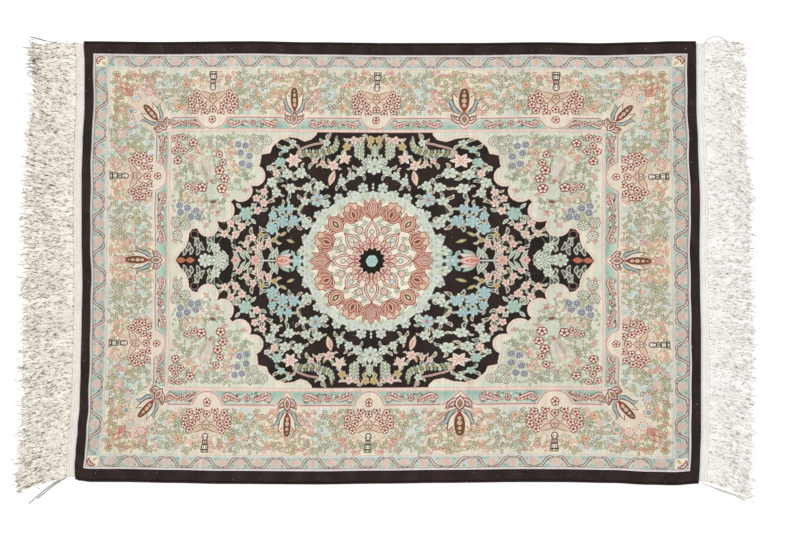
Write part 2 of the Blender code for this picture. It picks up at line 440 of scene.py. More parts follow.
class FloralChart(KnotChart):
    """The chart with the flowers, leaves and trees that the design is made of."""

    def ring_flower(self, spot: Spot, radius: float, line: Dye, heart: Dye = Dye.CREAM) -> None:
        """A small round flower of five light petals in a dark ring.

        Args:
            spot: Its middle.
            radius: Its size.
            line: The ring's dye.
            heart: The petals' dye.
        """
        self.lobes(spot, radius * 1.05, 5, 0.1, line, 0.9)
        for k in range(5):
            self.disc(spot.to(72 * k).on(radius * 0.58), radius * 0.26, heart)
        self.disc(spot, radius * 0.27, line)

    def dotted_flower(self, spot: Spot, radius: float, dots: Dye, petals: Dye) -> None:
        """A small light flower with five dark dots.

        Args:
            spot: Its middle.
            radius: Its size.
            dots: The dots' dye.
            petals: The petals' dye.
        """
        self.lobes(spot, radius, 5, 0.2, dots, 0.75)
        for k in range(5):
            self.disc(spot.to(72 * k).on(radius * 0.6), radius * 0.2, petals, 0.9)
        self.disc(spot, radius * 0.2, petals)

    def curl(self, spot: Spot, length: float, bend: float, line: Dye, heart: Dye) -> None:
        """A curved leaf in an outline.

        Args:
            spot: Its foot.
            length: Its length.
            bend: How far it bends to its left.
            line: The outline's dye.
            heart: The dye inside it.
        """
        route = [spot, spot.on(length * 0.5, bend), spot.on(length, bend * 0.4)]
        self.plume(route, length * 0.44, line, 0.85, 0.9)
        inner = [spot.on(1.1, bend * 0.2), spot.on(length * 0.5, bend), spot.on(length - 1.8, bend * 0.6)]
        self.plume(inner, length * 0.44 - 1.7, heart, 0.85, 0.85)

    def nest(self, foot: Spot, length: float, width: float, dyes: tuple[Dye, ...], belly: float = 1.0) -> None:
        """Petals inside each other, by turns a thin line and a broader stripe.

        Args:
            foot: Their foot.
            length: The outer one's length.
            width: Its width.
            dyes: Their dyes from the outside in.
            belly: As for a petal.
        """
        inset = 0.0
        for k, dye in enumerate(dyes):
            self.petal(foot.on(inset), length - 2.2 * inset, width - 2 * inset, dye, belly, 0.95)
            inset += 1.1 if k % 2 else 0.9

    def rosette(self, spot: Spot, radius: float, line: Dye, heart: Dye) -> None:
        """A faint round flower of eight petals.

        Args:
            spot: Its middle.
            radius: Its size.
            line: The petals' outline.
            heart: The dye inside them.
        """
        self.lobes(spot, radius, 8, 0.16, line, 0.75)
        for k in range(8):
            self.oval(spot.to(45 * k).on(radius * 0.64), radius * 0.25, radius * 0.2, heart, 0.9)
        self.disc(spot, radius * 0.34, heart)
        self.disc(spot, radius * 0.16, line)

    def blossom(self, spot: Spot, radius: float, petals: Dye, vein: Dye, heart: Dye, count: int = 6) -> None:
        """An open flower with veins between its petals.

        Args:
            spot: Its middle.
            radius: Its size.
            petals: The petals' dye.
            vein: The veins' dye.
            heart: The middle's dye.
            count: How many petals it has.
        """
        self.lobes(spot, radius * 1.06, count, 0.3, petals)
        for k in range(count):
            root = spot.to(360 * (k + 0.5) / count)
            self.petal(root.on(radius * 0.3), radius * 0.75, 1.1, vein, 1.2, 0.7)
            self.petal(spot.to(360 * k / count).on(radius * 0.3), radius * 0.5, 0.7, vein, 1.0, 0.4)
        self.disc(spot, max(1.0, radius * 0.25), vein, 0.75)
        self.disc(spot, max(0.6, radius * 0.15), heart, 0.9)

    def star(self, spot: Spot, radius: float, count: int, petals: Dye, heart: Dye) -> None:
        """A flower with pointed petals.

        Args:
            spot: Its middle.
            radius: Its size.
            count: How many petals it has.
            petals: Their dye.
            heart: The dye of its middle and veins.
        """
        for k in range(count):
            self.petal(spot.to(360 * k / count), radius, radius * 0.5, petals, 0.9)
        self.disc(spot, radius * 0.4, petals)
        for k in range(count):
            self.petal(spot.to(360 * k / count), radius * 0.75, 1.0, heart, 0.8, 0.6)

    def spray(self, spot: Spot, length: float, pairs: int, line: Dye, heart: Dye) -> None:
        """A stem with pairs of leaves and one at its tip.

        Args:
            spot: Its foot.
            length: Its length.
            pairs: How many pairs of leaves it has.
            line: The stem's and outlines' dye.
            heart: The dye inside the leaves.
        """
        self.vine([spot, spot.on(length)], 1.0, line)
        for k in range(pairs):
            foot = spot.on(length * (k + 0.4) / (pairs + 0.6))
            for side in (-1, 1):
                self.leaf(foot.to(side * 48), length * 0.42, 3.0, line, heart)
        self.leaf(spot.on(length * 0.72), length * 0.45, 3.2, line, heart)

    def sprig(self, spot: Spot, kind: int, line: Dye, heart: Dye, cover: float) -> None:
        """One small leaf, floret, bud or tendril of the ground's tracery.

        Args:
            spot: Its middle.
            kind: 0 to 5, which of them.
            line: Its outline.
            heart: The dye inside it.
            cover: How strong its outline is.
        """
        if kind < 1:
            self.leaf(spot.on(-3), 5.6, 3.1, line, heart, 1.0, cover)
        elif kind < 3:
            for turn in (-50, 0, 50):
                self.leaf(spot.on(-2).to(turn), 4.8, 2.8, line, heart, 1.2, cover)
            self.petal(spot.on(-4.6), 3.4, 0.9, line, 1.0, cover)
        elif kind == 3:
            self.lobes(spot, 2.8, 5, 0.3, line, cover)
            self.lobes(spot, 2.0, 5, 0.3, heart, cover)
            self.disc(spot, 0.6, line, cover)
        elif kind == 4:
            self.leaf(spot.to(24), 4.8, 2.7, line, heart, 1.0, cover)
            self.leaf(spot.to(-152), 4.8, 2.7, line, heart, 1.0, cover)
        else:
            self.petal(spot.on(-2), 4.6, 1.2, line, 1.0, cover)
            self.petal(spot.on(-1).to(50), 3.8, 1.1, line, 1.0, cover)

    def tree(self, foot: Spot) -> None:
        """A flowering tree, its trunk at its foot and its crown of flowers ahead."""
        self.oval(foot.on(33), 15, 22, Dye.BLUSH, 0.4)
        for ahead, aside in ((24, 16.1), (28.8, 21.4), (35.2, 21.4), (41.2, 17.6), (31, 13.9), (36.4, 10.2),
                             (43.5, 8), (39.8, 0), (50.3, 0)):
            for side in (-1, 1) if aside else (1,):
                self.petal(foot.on(ahead + 1, side * (aside + 2.4), side * 35), 4.6, 2.2, Dye.SAGE, 1.0, 0.7)
                self.ring_flower(foot.on(ahead, side * aside, 45), 3.7, Dye.MADDER)
        for width, dye, cover in ((6.6, Dye.BROWN, 0.75), (5.0, Dye.PEACH, 0.9)):
            for side in (-1, 1):
                route = [foot.on(28, side * -4), foot.on(27, side * 4), foot.on(24.6, side * 9.5),
                         foot.on(21.6, side * 13.8)]
                self.plume(route, width, dye, 0.8, cover)
            self.petal(foot.on(22.6 + (6.6 - width) / 2), 6.4 + width, width + 1.6, dye, 1.0, cover)
        self.oval(foot.on(27.6), 2.2, 3.6, Dye.BROWN, 0.8)
        self.oval(foot.on(27.6), 1.3, 2.7, Dye.BLUSH)
        self.disc(foot.on(27.6), 0.8, Dye.BROWN, 0.8)
        for side in (-1, 1):
            self.vine([foot.on(33, side * 2), foot.on(31.5, side * 6), foot.on(35, side * 7)], 0.8, Dye.RUST, 0.7)
        for ahead, long, short in ((3.6, 1.5, 3.8), (7.6, 2.6, 3.4), (12.4, 2.2, 2.6)):
            self.block(foot.on(ahead), long, short, Dye.NIGHT, 0.85)
            self.block(foot.on(ahead), long - 0.8, short - 0.9, Dye.CREAM)
        self.oval(foot.on(17.6), 3.7, 3.2, Dye.NIGHT, 0.85)
        self.oval(foot.on(17.6), 2.8, 2.3, Dye.CREAM)
        for ahead, aside in ((3.6, 1.6), (7.6, 1.3), (12.4, 0.6), (17.2, 1.2)):
            for side in (-1, 1):
                self.oval(foot.on(ahead, side * aside), 1.3, 0.5, Dye.NIGHT, 0.65)

    def palmette(self, foot: Spot, k: float = 1.0) -> None:
        """A brown-cored palmette with light petals and blue side leaves.

        Args:
            foot: Its foot.
            k: Its scale.
        """
        for side in (-1, 1):
            self.leaf(foot.on(-1).to(side * 44), 14 * k, 6.5 * k, Dye.WINE, Dye.BLUSH, 1.2, 0.8)
            self.leaf(foot.on(3).to(side * 62), 9.5 * k, 4.5 * k, Dye.WINE, Dye.PINK, 1.1, 0.8)
            route = [foot.on(9 * k, side * 2 * k), foot.on(14 * k, side * 6.4 * k), foot.on(19 * k, side * 7.6 * k),
                     foot.on(23 * k, side * 10 * k), foot.on(25.4 * k, side * 15 * k)]
            self.plume(route, 5.4 * k, Dye.GREY, 0.9, 0.9)
            self.plume(route, 3.8 * k, Dye.STEEL, 0.9, 0.6)
            self.plume(route, 2.6 * k, Dye.ICE, 0.9, 0.6)
            self.leaf(foot.on(11 * k, side).to(side * 20), 22 * k, 6.4 * k, Dye.BROWN, Dye.CREAM, 0.9, 0.8)
            self.petal(foot.on(13 * k, side * 2).to(side * 18), 14 * k, 1.0, Dye.PINK, 0.9, 0.8)
        self.petal(foot.on(-2), 14 * k, 8.2 * k, Dye.WINE, 1.0, 0.85)
        self.petal(foot.on(-0.8), 11 * k, 6.2 * k, Dye.BLUSH)
        self.petal(foot.on(1), 8 * k, 4 * k, Dye.MADDER, 1.0, 0.8)
        self.petal(foot.on(2), 5.4 * k, 2 * k, Dye.OLIVE)
        self.petal(foot.on(12 * k), 25.5 * k, 9.6 * k, Dye.CREAM)
        self.oval(foot.on(25 * k), 11.2 * k, 3.9 * k, Dye.BROWN)
        self.petal(foot.on(12 * k), 8 * k, 4.0 * k, Dye.MADDER)
        for ahead, size in ((18.8, 1.4), (23.4, 1.7), (28.6, 1.3), (32.6, 0.7)):
            self.oval(foot.on(ahead * k), size * 1.3, size, Dye.PEACH, 0.95)
            self.disc(foot.on(ahead * k), size * 0.35, Dye.BROWN, 0.7)

    def tulip(self, foot: Spot) -> None:
        """A tall flower of the roundel, with a five-pointed crown."""
        stripes = (Dye.MADDER, Dye.PEACH, Dye.MADDER, Dye.BLUSH)
        for turn, length in ((-46, 18), (46, 18), (-24, 21), (24, 21)):
            self.nest(foot.to(turn), length, 7, stripes, 0.9)
        self.nest(foot.on(-0.5), 22, 11, (*stripes, Dye.MADDER, Dye.PEACH, Dye.BROWN))

    def eye_flower(self, foot: Spot) -> None:
        """A round flower of the roundel with an eye, and pointed leaves round it."""
        for turn in (-72, 72, -40, 40, 0):
            self.nest(foot.on(4).to(turn), 18 - abs(turn) / 16, 6, (Dye.MADDER, Dye.BLUSH, Dye.MADDER, Dye.PEACH), 1.1)
        middle = foot.on(9)
        for long, short, dye, cover in ((8.6, 7.4, Dye.MADDER, 0.95), (7.6, 6.4, Dye.PEACH, 0.95),
                                        (6.5, 5.2, Dye.MADDER, 0.9), (5.6, 4.3, Dye.PEACH, 0.95)):
            self.oval(middle, long, short, dye, cover)
        self.petal(foot.on(4), 10, 5.2, Dye.BROWN)
        self.petal(foot.on(6), 6.4, 2.8, Dye.OLIVE)
        self.petal(foot.on(7.2), 4, 1.4, Dye.MIST)

    def full_flower(self, foot: Spot) -> None:
        """A round flower of the roundel with many petals."""
        self.lobes(foot.on(10.5), 9.9, 9, 0.18, Dye.MADDER, 0.95)
        self.lobes(foot.on(10.5), 8.9, 9, 0.18, Dye.PEACH, 0.95)
        for turn in (-56, 56, -28, 28, 0):
            self.nest(foot.to(turn), 18.5 - abs(turn) / 12, 6.4, (Dye.MADDER, Dye.PEACH, Dye.MADDER, Dye.BLUSH), 0.85)
        self.nest(foot.on(1), 13, 8, (Dye.MADDER, Dye.PEACH, Dye.RUST, Dye.BROWN, Dye.OLIVE))


@dataclass
class RugDesign:
    """The whole design: guards, main border, spandrels, medallion and roundel."""

    chart: FloralChart
    field_a: float = 203.0
    field_b: float = 130.0
    inner_guard: float = 16.4
    main_border: float = 62.6
    outer_guard: float = 65.3
    outer_guard_end: float = 76.8
    band: float = 79.4
    repeat: float = 82.0
    rng: np.random.Generator = field(default_factory=lambda: np.random.default_rng(21))
    dark: np.ndarray = field(init=False)

    def draw(self) -> np.ndarray:
        """Draws everything, the lowest layer first.

        Returns:
            The quarter's colours.
        """
        self.draw_grounds()
        self.draw_outer_guard()
        self.draw_tracery()
        self.draw_border()
        self.draw_inner_guard()
        self.draw_medallion()
        self.draw_spandrel()
        self.draw_garden()
        self.draw_axes()
        self.draw_roundel()
        return self.chart.wool

    def side(self, along: float, depth: float, turn: float, end: bool) -> Spot:
        """A spot in the border, depth squares out of the field.

        Args:
            along: Its place along the border, from the border's middle.
            depth: Its distance from the field.
            turn: Its direction, 90 outwards.
            end: Whether it is on the rug's end.

        Returns:
            The spot.
        """
        if end:
            return Spot(self.field_a + depth, along, 90 - turn)
        return Spot(along, self.field_b + depth, turn)

    def border_place(self, a: np.ndarray | float, b: np.ndarray | float) -> tuple:
        """How far places lie out of the field, and how far along its border."""
        out_a, out_b = a - self.field_a, b - self.field_b
        return np.maximum(out_a, out_b), np.where(out_a > out_b, b, a)

    def draw_grounds(self) -> None:
        """The field's ground and every stripe of the border."""
        c = self.chart
        depth, along = self.border_place(c.a, c.b)
        mottle, fine = c.ripple(22, 3), c.ripple(9, 5)
        c.wool[:] = mix(Dye.IVORY.rgb, Dye.MIST.rgb, np.clip(mottle * 1.2 - 0.15, 0, 1))
        between = np.sin(math.pi * along / self.repeat) ** 2
        cool = mix(Dye.MIST.rgb, Dye.ICE.rgb, fine)
        ground = mix(Dye.BEIGE.rgb, cool, np.clip(between * 0.75 + 0.9 * mottle - 0.55, 0, 0.85))
        guard = mix(Dye.AQUA.rgb, Dye.ICE.rgb, np.clip(fine * 2.0 - 0.5, 0, 0.9))
        guard = mix(guard, Dye.BLUSH.rgb, 0.4 * mottle) * 0.95
        low = mix(Dye.AQUA.rgb, Dye.TEAL.rgb, np.clip(1.1 - np.abs(depth - 5) / 3, 0, 1) * 0.45 * fine)
        low = mix(low, Dye.BLUSH.rgb, np.clip((depth - 9) / 6, 0, 0.55) * (0.4 + 0.6 * mottle))
        band = mix(Dye.BAND.rgb, Dye.NIGHT.rgb, np.clip(mottle * 1.4 - 0.4, 0, 0.5))
        stripes = ((0, 1.0, Dye.PINK), (1.0, 2.2, Dye.BLUSH), (2.2, 3.0, Dye.PINK), (3.0, 14.0, low),
                   (14.0, 14.9, Dye.ROSE), (14.9, self.inner_guard, Dye.BLUSH),
                   (self.inner_guard, self.main_border, ground), (self.main_border, 63.4, Dye.PEACH),
                   (63.4, self.outer_guard, Dye.ICE), (self.outer_guard, self.outer_guard_end, guard),
                   (self.outer_guard_end, 77.4, Dye.SAGE), (77.4, self.band, Dye.LILAC), (self.band, 999, band))
        corner = (c.a > self.field_a) & (c.b > self.field_b) & (depth > 3) & (depth < self.inner_guard)
        for start, stop, what in stripes:
            mask = (depth >= start) & (depth < stop)
            c.wool[mask] = what[mask] if isinstance(what, np.ndarray) else what.rgb
        c.wool[corner] = Dye.BEIGE.rgb

    def draw_outer_guard(self) -> None:
        """The narrow outer guard: a ribbon that waves between rosettes, and its corner squares."""
        c = self.chart
        middle = (self.outer_guard + self.outer_guard_end) / 2
        for end, length, count in ((False, self.field_a + middle, 15), (True, self.field_b + middle, 11)):
            half = length / count
            for k in range(count):
                up = 1 if k % 2 else -1
                spot = self.side(k * half, middle + up * 0.4, 90, end)
                for side in (-1, 1):
                    leaf = self.side(k * half + side * 4.6, middle - up * 3.4, 90 - up * side * 50, end)
                    c.petal(leaf, 5, 2.4, Dye.TEAL, 1.0, 0.8)
                    c.disc(self.side(k * half + side * 6, middle + up * 3.6, 0, end), 0.8, Dye.STEEL, 0.8)
                c.lobes(spot, 4.8, 9, 0.3, Dye.BLUSH, 0.8)
                for petal in range(9):
                    c.petal(spot.to(40 * petal).on(1), 3.6, 1.0, Dye.ROSE, 1.2, 0.6)
                c.disc(spot, 1.5, Dye.PEACH, 0.8)
                c.disc(spot, 0.8, Dye.ORANGE if k % 3 else Dye.ROSE, 0.6)
            line = []
            for along in np.arange(-4, length - half * 0.4, 1.0):
                wave = math.sin(math.pi / 2 * max(-1.0, min(1.0, -1.5 * math.cos(math.pi * along / half))))
                spot = self.side(along, middle - 4.9 * wave, 0, end)
                line.append((spot.a, spot.b))
            c.stroke(line, 1.8, Dye.WINE, 0.5)
            c.stroke(line, 0.8, Dye.BLUSH, 0.6)
            for k in range(count - 1):
                middle_point = int((k + 0.5) * half) + 4
                steep = line[middle_point - 5:middle_point + 7]
                c.stroke(steep, 2.7, Dye.WINE, 0.8)
                c.stroke(steep, 1.1, Dye.BLUSH)
        corner = Spot(self.field_a + middle, self.field_b + middle, 45)
        square = (np.abs(c.a - corner.a) < 5.6) & (np.abs(c.b - corner.b) < 5.6)
        c.wool[square] = Dye.CREAM.rgb
        for k in range(-3, 4):
            c.disc(corner.to(26 * k).on(5.4 - 0.3 * abs(k)), 1.0, Dye.MADDER, 0.95)
        for k in range(-1, 2):
            c.disc(corner.to(48 * k).on(2.4), 1.0, Dye.MADDER, 0.9)
        c.petal(corner.on(-6.5), 7, 3, Dye.GOLD)

    def scatter(self, pitch: float, jitter: float, high_a: float, high_b: float) -> list[tuple[Spot, int]]:
        """Places for small motifs on an uneven lattice.

        Args:
            pitch: The lattice's pitch.
            jitter: How far a place may leave its lattice point.
            high_a: How far the lattice goes along the rug.
            high_b: How far it goes across.

        Returns:
            Each place with a number from 0 to 11.
        """
        rng, places = self.rng, []
        for row, b in enumerate(np.arange(1.5, high_b, pitch)):
            for a in np.arange(1.5 + pitch / 2 * (row % 2), high_a, pitch):
                spot = Spot(a + rng.uniform(-jitter, jitter), b + rng.uniform(-jitter, jitter), rng.uniform(0, 360))
                places.append((spot, int(rng.integers(0, 12))))
        return places

    def draw_tracery(self) -> None:
        """Small leaves and florets over the main border's ground."""
        warm = (Dye.ORANGE, Dye.OLIVE, Dye.ORANGE, Dye.OLIVE, Dye.ROSE, Dye.OLIVE)
        cool = (Dye.SAGE, Dye.OLIVE, Dye.SKY, Dye.OLIVE, Dye.SAGE, Dye.GREY)
        stems, florets = (Dye.OLIVE, Dye.ORANGE, Dye.BROWN), (Dye.ORANGE, Dye.ROSE)
        low, high = self.inner_guard + 2.6, self.main_border - 2.4
        for spot, kind in self.scatter(8, 3, self.field_a + 62, self.field_b + 62):
            route = [spot, spot.on(4, 1.8), spot.on(8, -1), spot.on(12, 1.5)]
            if all(low < self.border_place(bend.a, bend.b)[0] < high for bend in route):
                self.chart.vine(route, 0.7, stems[kind % 3], 0.5)
        for spot, kind in self.scatter(4.6, 1.6, self.field_a + 62, self.field_b + 62):
            depth, along = self.border_place(spot.a, spot.b)
            if low < depth < high:
                between = math.sin(math.pi * float(along) / self.repeat) ** 2
                lines = cool if between + 0.25 * math.sin(spot.turn) > 0.62 else warm
                line = florets[int(spot.turn) % 2] if kind == 6 else lines[(kind * 5) % 6]
                self.chart.sprig(spot, 0 if kind == 7 else kind // 2, line, Dye.CREAM if kind % 2 else Dye.BLUSH, 0.75)

    def draw_border(self) -> None:
        """The main border's trees and palmettes, and its corners."""
        c = self.chart
        for along, end in ((0, False), (163, False), (84, True)):
            self.clear(self.side(along, 30, 90, end), 19, 24)
            self.tree(along, end)
        corner = Spot(self.field_a + 6, self.field_b + 3, 46)
        c.oval(corner.on(24), 26, 15, Dye.BEIGE, 0.75)
        for a, b, dye in ((216.6, 168.3, Dye.TEAL), (227.5, 170.5, Dye.PINK), (244.3, 150.5, Dye.TEAL),
                          (243, 138, Dye.SKY), (240, 164, Dye.SKY)):
            c.disc(Spot(a, b), 4.6, Dye.BLUSH, 0.8)
            for k in range(9):
                c.disc(Spot(a, b, 40 * k).on(4.2), 0.9, Dye.ROSE, 0.8)
            c.lobes(Spot(a, b), 2.6, 5, 0.2, dye, 0.8)
        bud = Spot(244, 165.5, 52)
        c.leaf(bud, 18, 11, Dye.RUST, Dye.PEACH, 0.8, 0.8)
        c.petal(bud.on(1.5), 9, 7, Dye.ROSE, 0.9, 0.8)
        for turn in (-22, 22):
            c.petal(bud.on(7).to(turn), 9, 1.4, Dye.RUST, 1.0, 0.7)
        for k in range(5):
            c.sprig(Spot(258 - 9 * k, 186.5 - k % 2, 60 + 25 * k), 1, Dye.RUST, Dye.CREAM, 0.6)
            c.sprig(Spot(259.5 - k % 2, 182 - 10 * k, 200 + 30 * k), 1, Dye.RUST, Dye.CREAM, 0.6)
        for a, b in ((190, 177.5), (197, 154.5), (136, 177.5), (129, 154.5), (27, 177.5), (34, 154.5)):
            c.lobes(Spot(a, b), 4.2, 5, 0.3, Dye.ORANGE, 0.75)
            c.lobes(Spot(a, b), 2.6, 5, 0.3, Dye.PEACH, 0.8)
            c.disc(Spot(a, b), 1.2, Dye.RUST, 0.8)
        c.palmette(corner, 0.92)
        for along, end in ((self.repeat, False), (0, True)):
            c.palmette(self.side(along, 8.5, 90, end))

    def tree(self, along: float, end: bool) -> None:
        """A tree with its foot at the main border's outer edge."""
        self.chart.tree(self.side(along, self.main_border, -90, end))

    def clear(self, spot: Spot, long: float, short: float) -> None:
        """Quietens the tracery under a motif."""
        self.chart.oval(spot, long, short, Dye.BEIGE, 0.55)

    def draw_inner_guard(self) -> None:
        """The inner guard: cartouches of leaves, and points where the trees and palmettes reach in."""
        c, rng = self.chart, self.rng
        dashes = (Dye.WINE, Dye.ROSE, Dye.MADDER, Dye.ORANGE, Dye.CREAM, Dye.BLUSH)
        for along, half, end in ((41, 26, False), (122.5, 26, False), (189, 15, False), (42, 26, True),
                                 (111, 15, True)):
            for _ in range(2 * half):
                place, depth = along + rng.uniform(-0.95, 0.95) * half, rng.uniform(5.2, 12)
                dash = self.side(place, depth, rng.uniform(-40, 40), end)
                c.petal(dash, 3.4, 1.2, dashes[int(rng.integers(0, 6))], 1.0, 0.9)
            for side in (-1, 1):
                out = 0 if side > 0 else 180
                long = [self.side(along + side * half * s, d, out, end)
                        for s, d in ((0.06, 9.2), (0.3, 10.2), (0.56, 8.4), (0.8, 6.6), (1.0, 9.6))]
                hook = [self.side(along + side * half * s, d, out, end)
                        for s, d in ((0.5, 5.4), (0.7, 8.6), (0.88, 9.8), (1.0, 6.4))]
                c.petal(self.side(along + side * half * 0.2, 5.6, out, end), 6, 2.4, Dye.TEAL, 1.0, 0.6)
                c.petal(self.side(along + side * half * 0.75, 12.4, out, end), 5, 2.0, Dye.STEEL, 1.0, 0.6)
                for route, width, belly in ((hook, 4.2, 1.0), (long, 5.8, 1.4)):
                    c.plume(route, width, Dye.WINE, belly, 0.75)
                    c.plume(route, width - 1.5, Dye.BLUSH, belly, 0.95)
                c.plume(long, 1.5, Dye.MADDER, 1.4, 0.7)
                for k, step in enumerate((0.26, 0.38, 0.5, 0.62, 0.74, 0.86)):
                    vein = self.side(along + side * half * step, 10.4 - 4.4 * step, out, end)
                    c.petal(vein.to(60), 3.0, 1.0, Dye.WINE, 1.0, 0.6)
                    c.disc(vein.on(-1, 2.6), 0.8, Dye.ORANGE if k % 2 else Dye.CREAM, 0.8)
            c.ring_flower(self.side(along, 8.6, 0, end), 2.9, Dye.MADDER, Dye.BLUSH)
        funnel = ((1, 14.4), (0.75, 12.4), (0.4, 8.2))
        bowl = ((1, 14.4), (0.92, 12.0), (0.68, 7.0), (0.36, 4.2))
        for along, half, end, slope in ((0, 15, False, bowl), (self.repeat, 12, False, funnel), (163, 15, False, bowl),
                                        (0, 12, True, funnel), (84, 15, True, bowl)):
            wings = [*((-s, d) for s, d in slope), (0, 3.4), *reversed(slope)]
            spots = [self.side(along + half * s, d, 0, end) for s, d in wings]
            mouth = [self.side(along + half * s, 17, 0, end) for s in (1, -1)]
            c.wool[c.within([(spot.a, spot.b) for spot in spots + mouth])] = Dye.BEIGE.rgb
            c.vine([spot.on(0) for spot in spots], 2.4, Dye.BLUSH, 0.8)
            c.vine(spots, 0.9, Dye.ROSE, 0.8)
        for along, end in ((0, False), (163, False), (84, True)):
            c.ring_flower(self.side(along, self.main_border - 50.3, 45, end), 3.7, Dye.MADDER)
        for along, end in ((self.repeat, False), (0, True)):
            c.palmette(self.side(along, 8.5, 90, end))
        corner = Spot(self.field_a + 6, self.field_b + 3, 46)
        for turn in (-80, -48, 48, 80):
            c.leaf(corner.on(2).to(turn), 11, 4.6, Dye.RUST, Dye.BEIGE, 1.1, 0.8)
        c.palmette(corner, 0.92)

    @property
    def edge(self) -> Points:
        """The medallion's outline from its tip to the field's far side."""
        return [(197, -0.5), (191.5, 8), (186.5, 13), (184.5, 20), (184, 26), (180.5, 30.5), (176, 31.5), (172, 28),
                (165, 34), (149.5, 49), (132, 69), (118.5, 84.3), (113.5, 96), (112.5, 106), (104, 108), (102, 114.5),
                (94, 122), (85, 124.8), (76.5, 123.6), (70, 120.2), (63, 122.6), (58.5, 127.5), (57.5, 131)]

    @property
    def scallops(self) -> tuple[tuple[float, float, float], ...]:
        """The field's round lobes that cut into the medallion."""
        return (165, 34, 10.8), (149.5, 49, 11.3), (132, 69, 11.3), (118.5, 84.3, 10.8)

    def draw_medallion(self) -> None:
        """The near-black medallion with its pink edge, cut by the field's scallops."""
        c = self.chart
        in_field = (c.a < self.field_a) & (c.b < self.field_b)
        self.dark = c.within([*self.edge, (-1, 131), (-1, -1), (197, -1)]) & in_field
        for a, b, r in self.scallops:
            self.dark &= np.hypot(c.a - a, c.b - b) > r
        near = self.dark
        rims = [(Dye.PINK, 0.6)] * 2 + [(Dye.BLUSH, 0.8)] * 3 + [(Dye.PINK, 0.7)] * 2 + [(Dye.CREAM, 0.5)] * 2
        for dye, cover in rims:
            wider = near.copy()
            wider[1:] |= near[:-1]
            wider[:-1] |= near[1:]
            wider[:, 1:] |= near[:, :-1]
            wider[:, :-1] |= near[:, 1:]
            rim = wider & ~near & in_field
            c.wool[rim] += (dye.rgb - c.wool[rim]) * cover
            near = wider
        c.wool[self.dark] = mix(Dye.NIGHT.rgb, Dye.BAND.rgb, c.ripple(30, 9))[self.dark]

    def is_dark(self, spot: Spot, reach: float) -> bool:
        """Whether the medallion's dark ground comes within reach of a spot."""
        return bool(self.dark[self.chart.window(spot.a, spot.b, reach)].any())

    def draw_spandrel(self) -> None:
        """The light field outside the medallion, with its clusters of small flowers."""
        c = self.chart
        lines = (Dye.SAGE, Dye.OLIVE, Dye.SAGE, Dye.MOSS, Dye.OLIVE, Dye.SAGE, Dye.ROSE)
        for spot, kind in self.scatter(4.9, 1.7, self.field_a - 3, self.field_b - 3):
            if spot.a < self.field_a - 3 and spot.b < self.field_b - 3 and not self.is_dark(spot, 6):
                c.sprig(spot, 0 if kind == 7 else kind // 2, lines[(kind * 5) % 7], Dye.IVORY, 0.68)
        flame = Spot(161, 78, 68)
        c.disc(Spot(159, 68), 8, Dye.MIST, 0.9)
        c.petal(flame, 40, 17, Dye.IVORY, 0.8, 0.5)
        c.petal(flame.on(1), 30, 11, Dye.PINK, 0.8, 0.35)
        c.petal(flame.on(1, 2.5), 26, 4.4, Dye.LILAC, 0.8, 0.45)
        c.petal(flame.on(2, -2.5), 24, 4, Dye.GREY, 0.8, 0.25)
        c.disc(flame.on(1), 2.0, Dye.ROSE, 0.9)
        c.petal(flame.on(29, -1, -10), 14, 2.8, Dye.ORANGE, 1.0, 0.6)
        for a, b, r in ((199.5, 123.5, 3.4), (192, 125, 3.4), (195.7, 116.4, 3.4), (199.4, 110.6, 3.6),
                        (190.6, 110.2, 3.7), (196, 100.4, 4.1), (181.3, 118.7, 4.3), (155, 106.4, 3.6),
                        (150.8, 98.3, 3.6), (153.4, 89.9, 4.6), (148.5, 81.5, 4.4), (151.3, 71, 4.8),
                        (185, 73.4, 3.5), (178, 70.2, 3.3), (170.6, 72.4, 4.8)):
            c.ring_flower(Spot(a, b, 20), r, Dye.MADDER)
        for a, b in ((136.4, 116.6), (129.3, 115.5), (133.7, 108), (124.8, 104.6), (131.2, 96.9), (124.4, 94.8),
                     (193, 54), (185.3, 51.6), (191.9, 47.4), (176.5, 48.8), (181.5, 42.9), (174.5, 42.9)):
            c.disc(Spot(a, b), 4.6, Dye.ICE, 0.5)
            c.dotted_flower(Spot(a, b, a * 9), 3.4, Dye.INDIGO, Dye.LILAC)
        for a, b in ((189, 66.4), (182.3, 64.3), (177.3, 60.4), (171, 61), (187.8, 60.4), (173, 55.5),
                     (148.2, 111), (141.6, 111.3), (145, 104), (141.7, 97.5), (141.2, 90.5), (135.5, 90.5)):
            c.sprig(Spot(a, b, a * 7), 3, Dye.ORANGE, Dye.CREAM, 0.7)
        for a, b in ((120.5, 122), (107.4, 120.4), (117.4, 111.3), (197, 37.6), (187.2, 34.5), (195.3, 24.6)):
            c.rosette(Spot(a, b), 5.3, Dye.GREY, Dye.IVORY)
        for a, b in ((164.7, 122.2), (156.4, 123.6), (163.8, 116), (156, 116), (148.4, 119.4)):
            c.sprig(Spot(a, b, a * 5), 3, Dye.GREY, Dye.MIST, 0.8)
        c.blossom(Spot(183, 104), 3.8, Dye.PEACH, Dye.ROSE, Dye.ROSE)
        c.petal(Spot(173, 107, 20), 6, 2.6, Dye.ORANGE)
        c.petal(Spot(163, 57, 170), 7, 3.4, Dye.BROWN, 1.0, 0.8)
        c.disc(Spot(155, 47.8), 1.6, Dye.ROSE, 0.8)

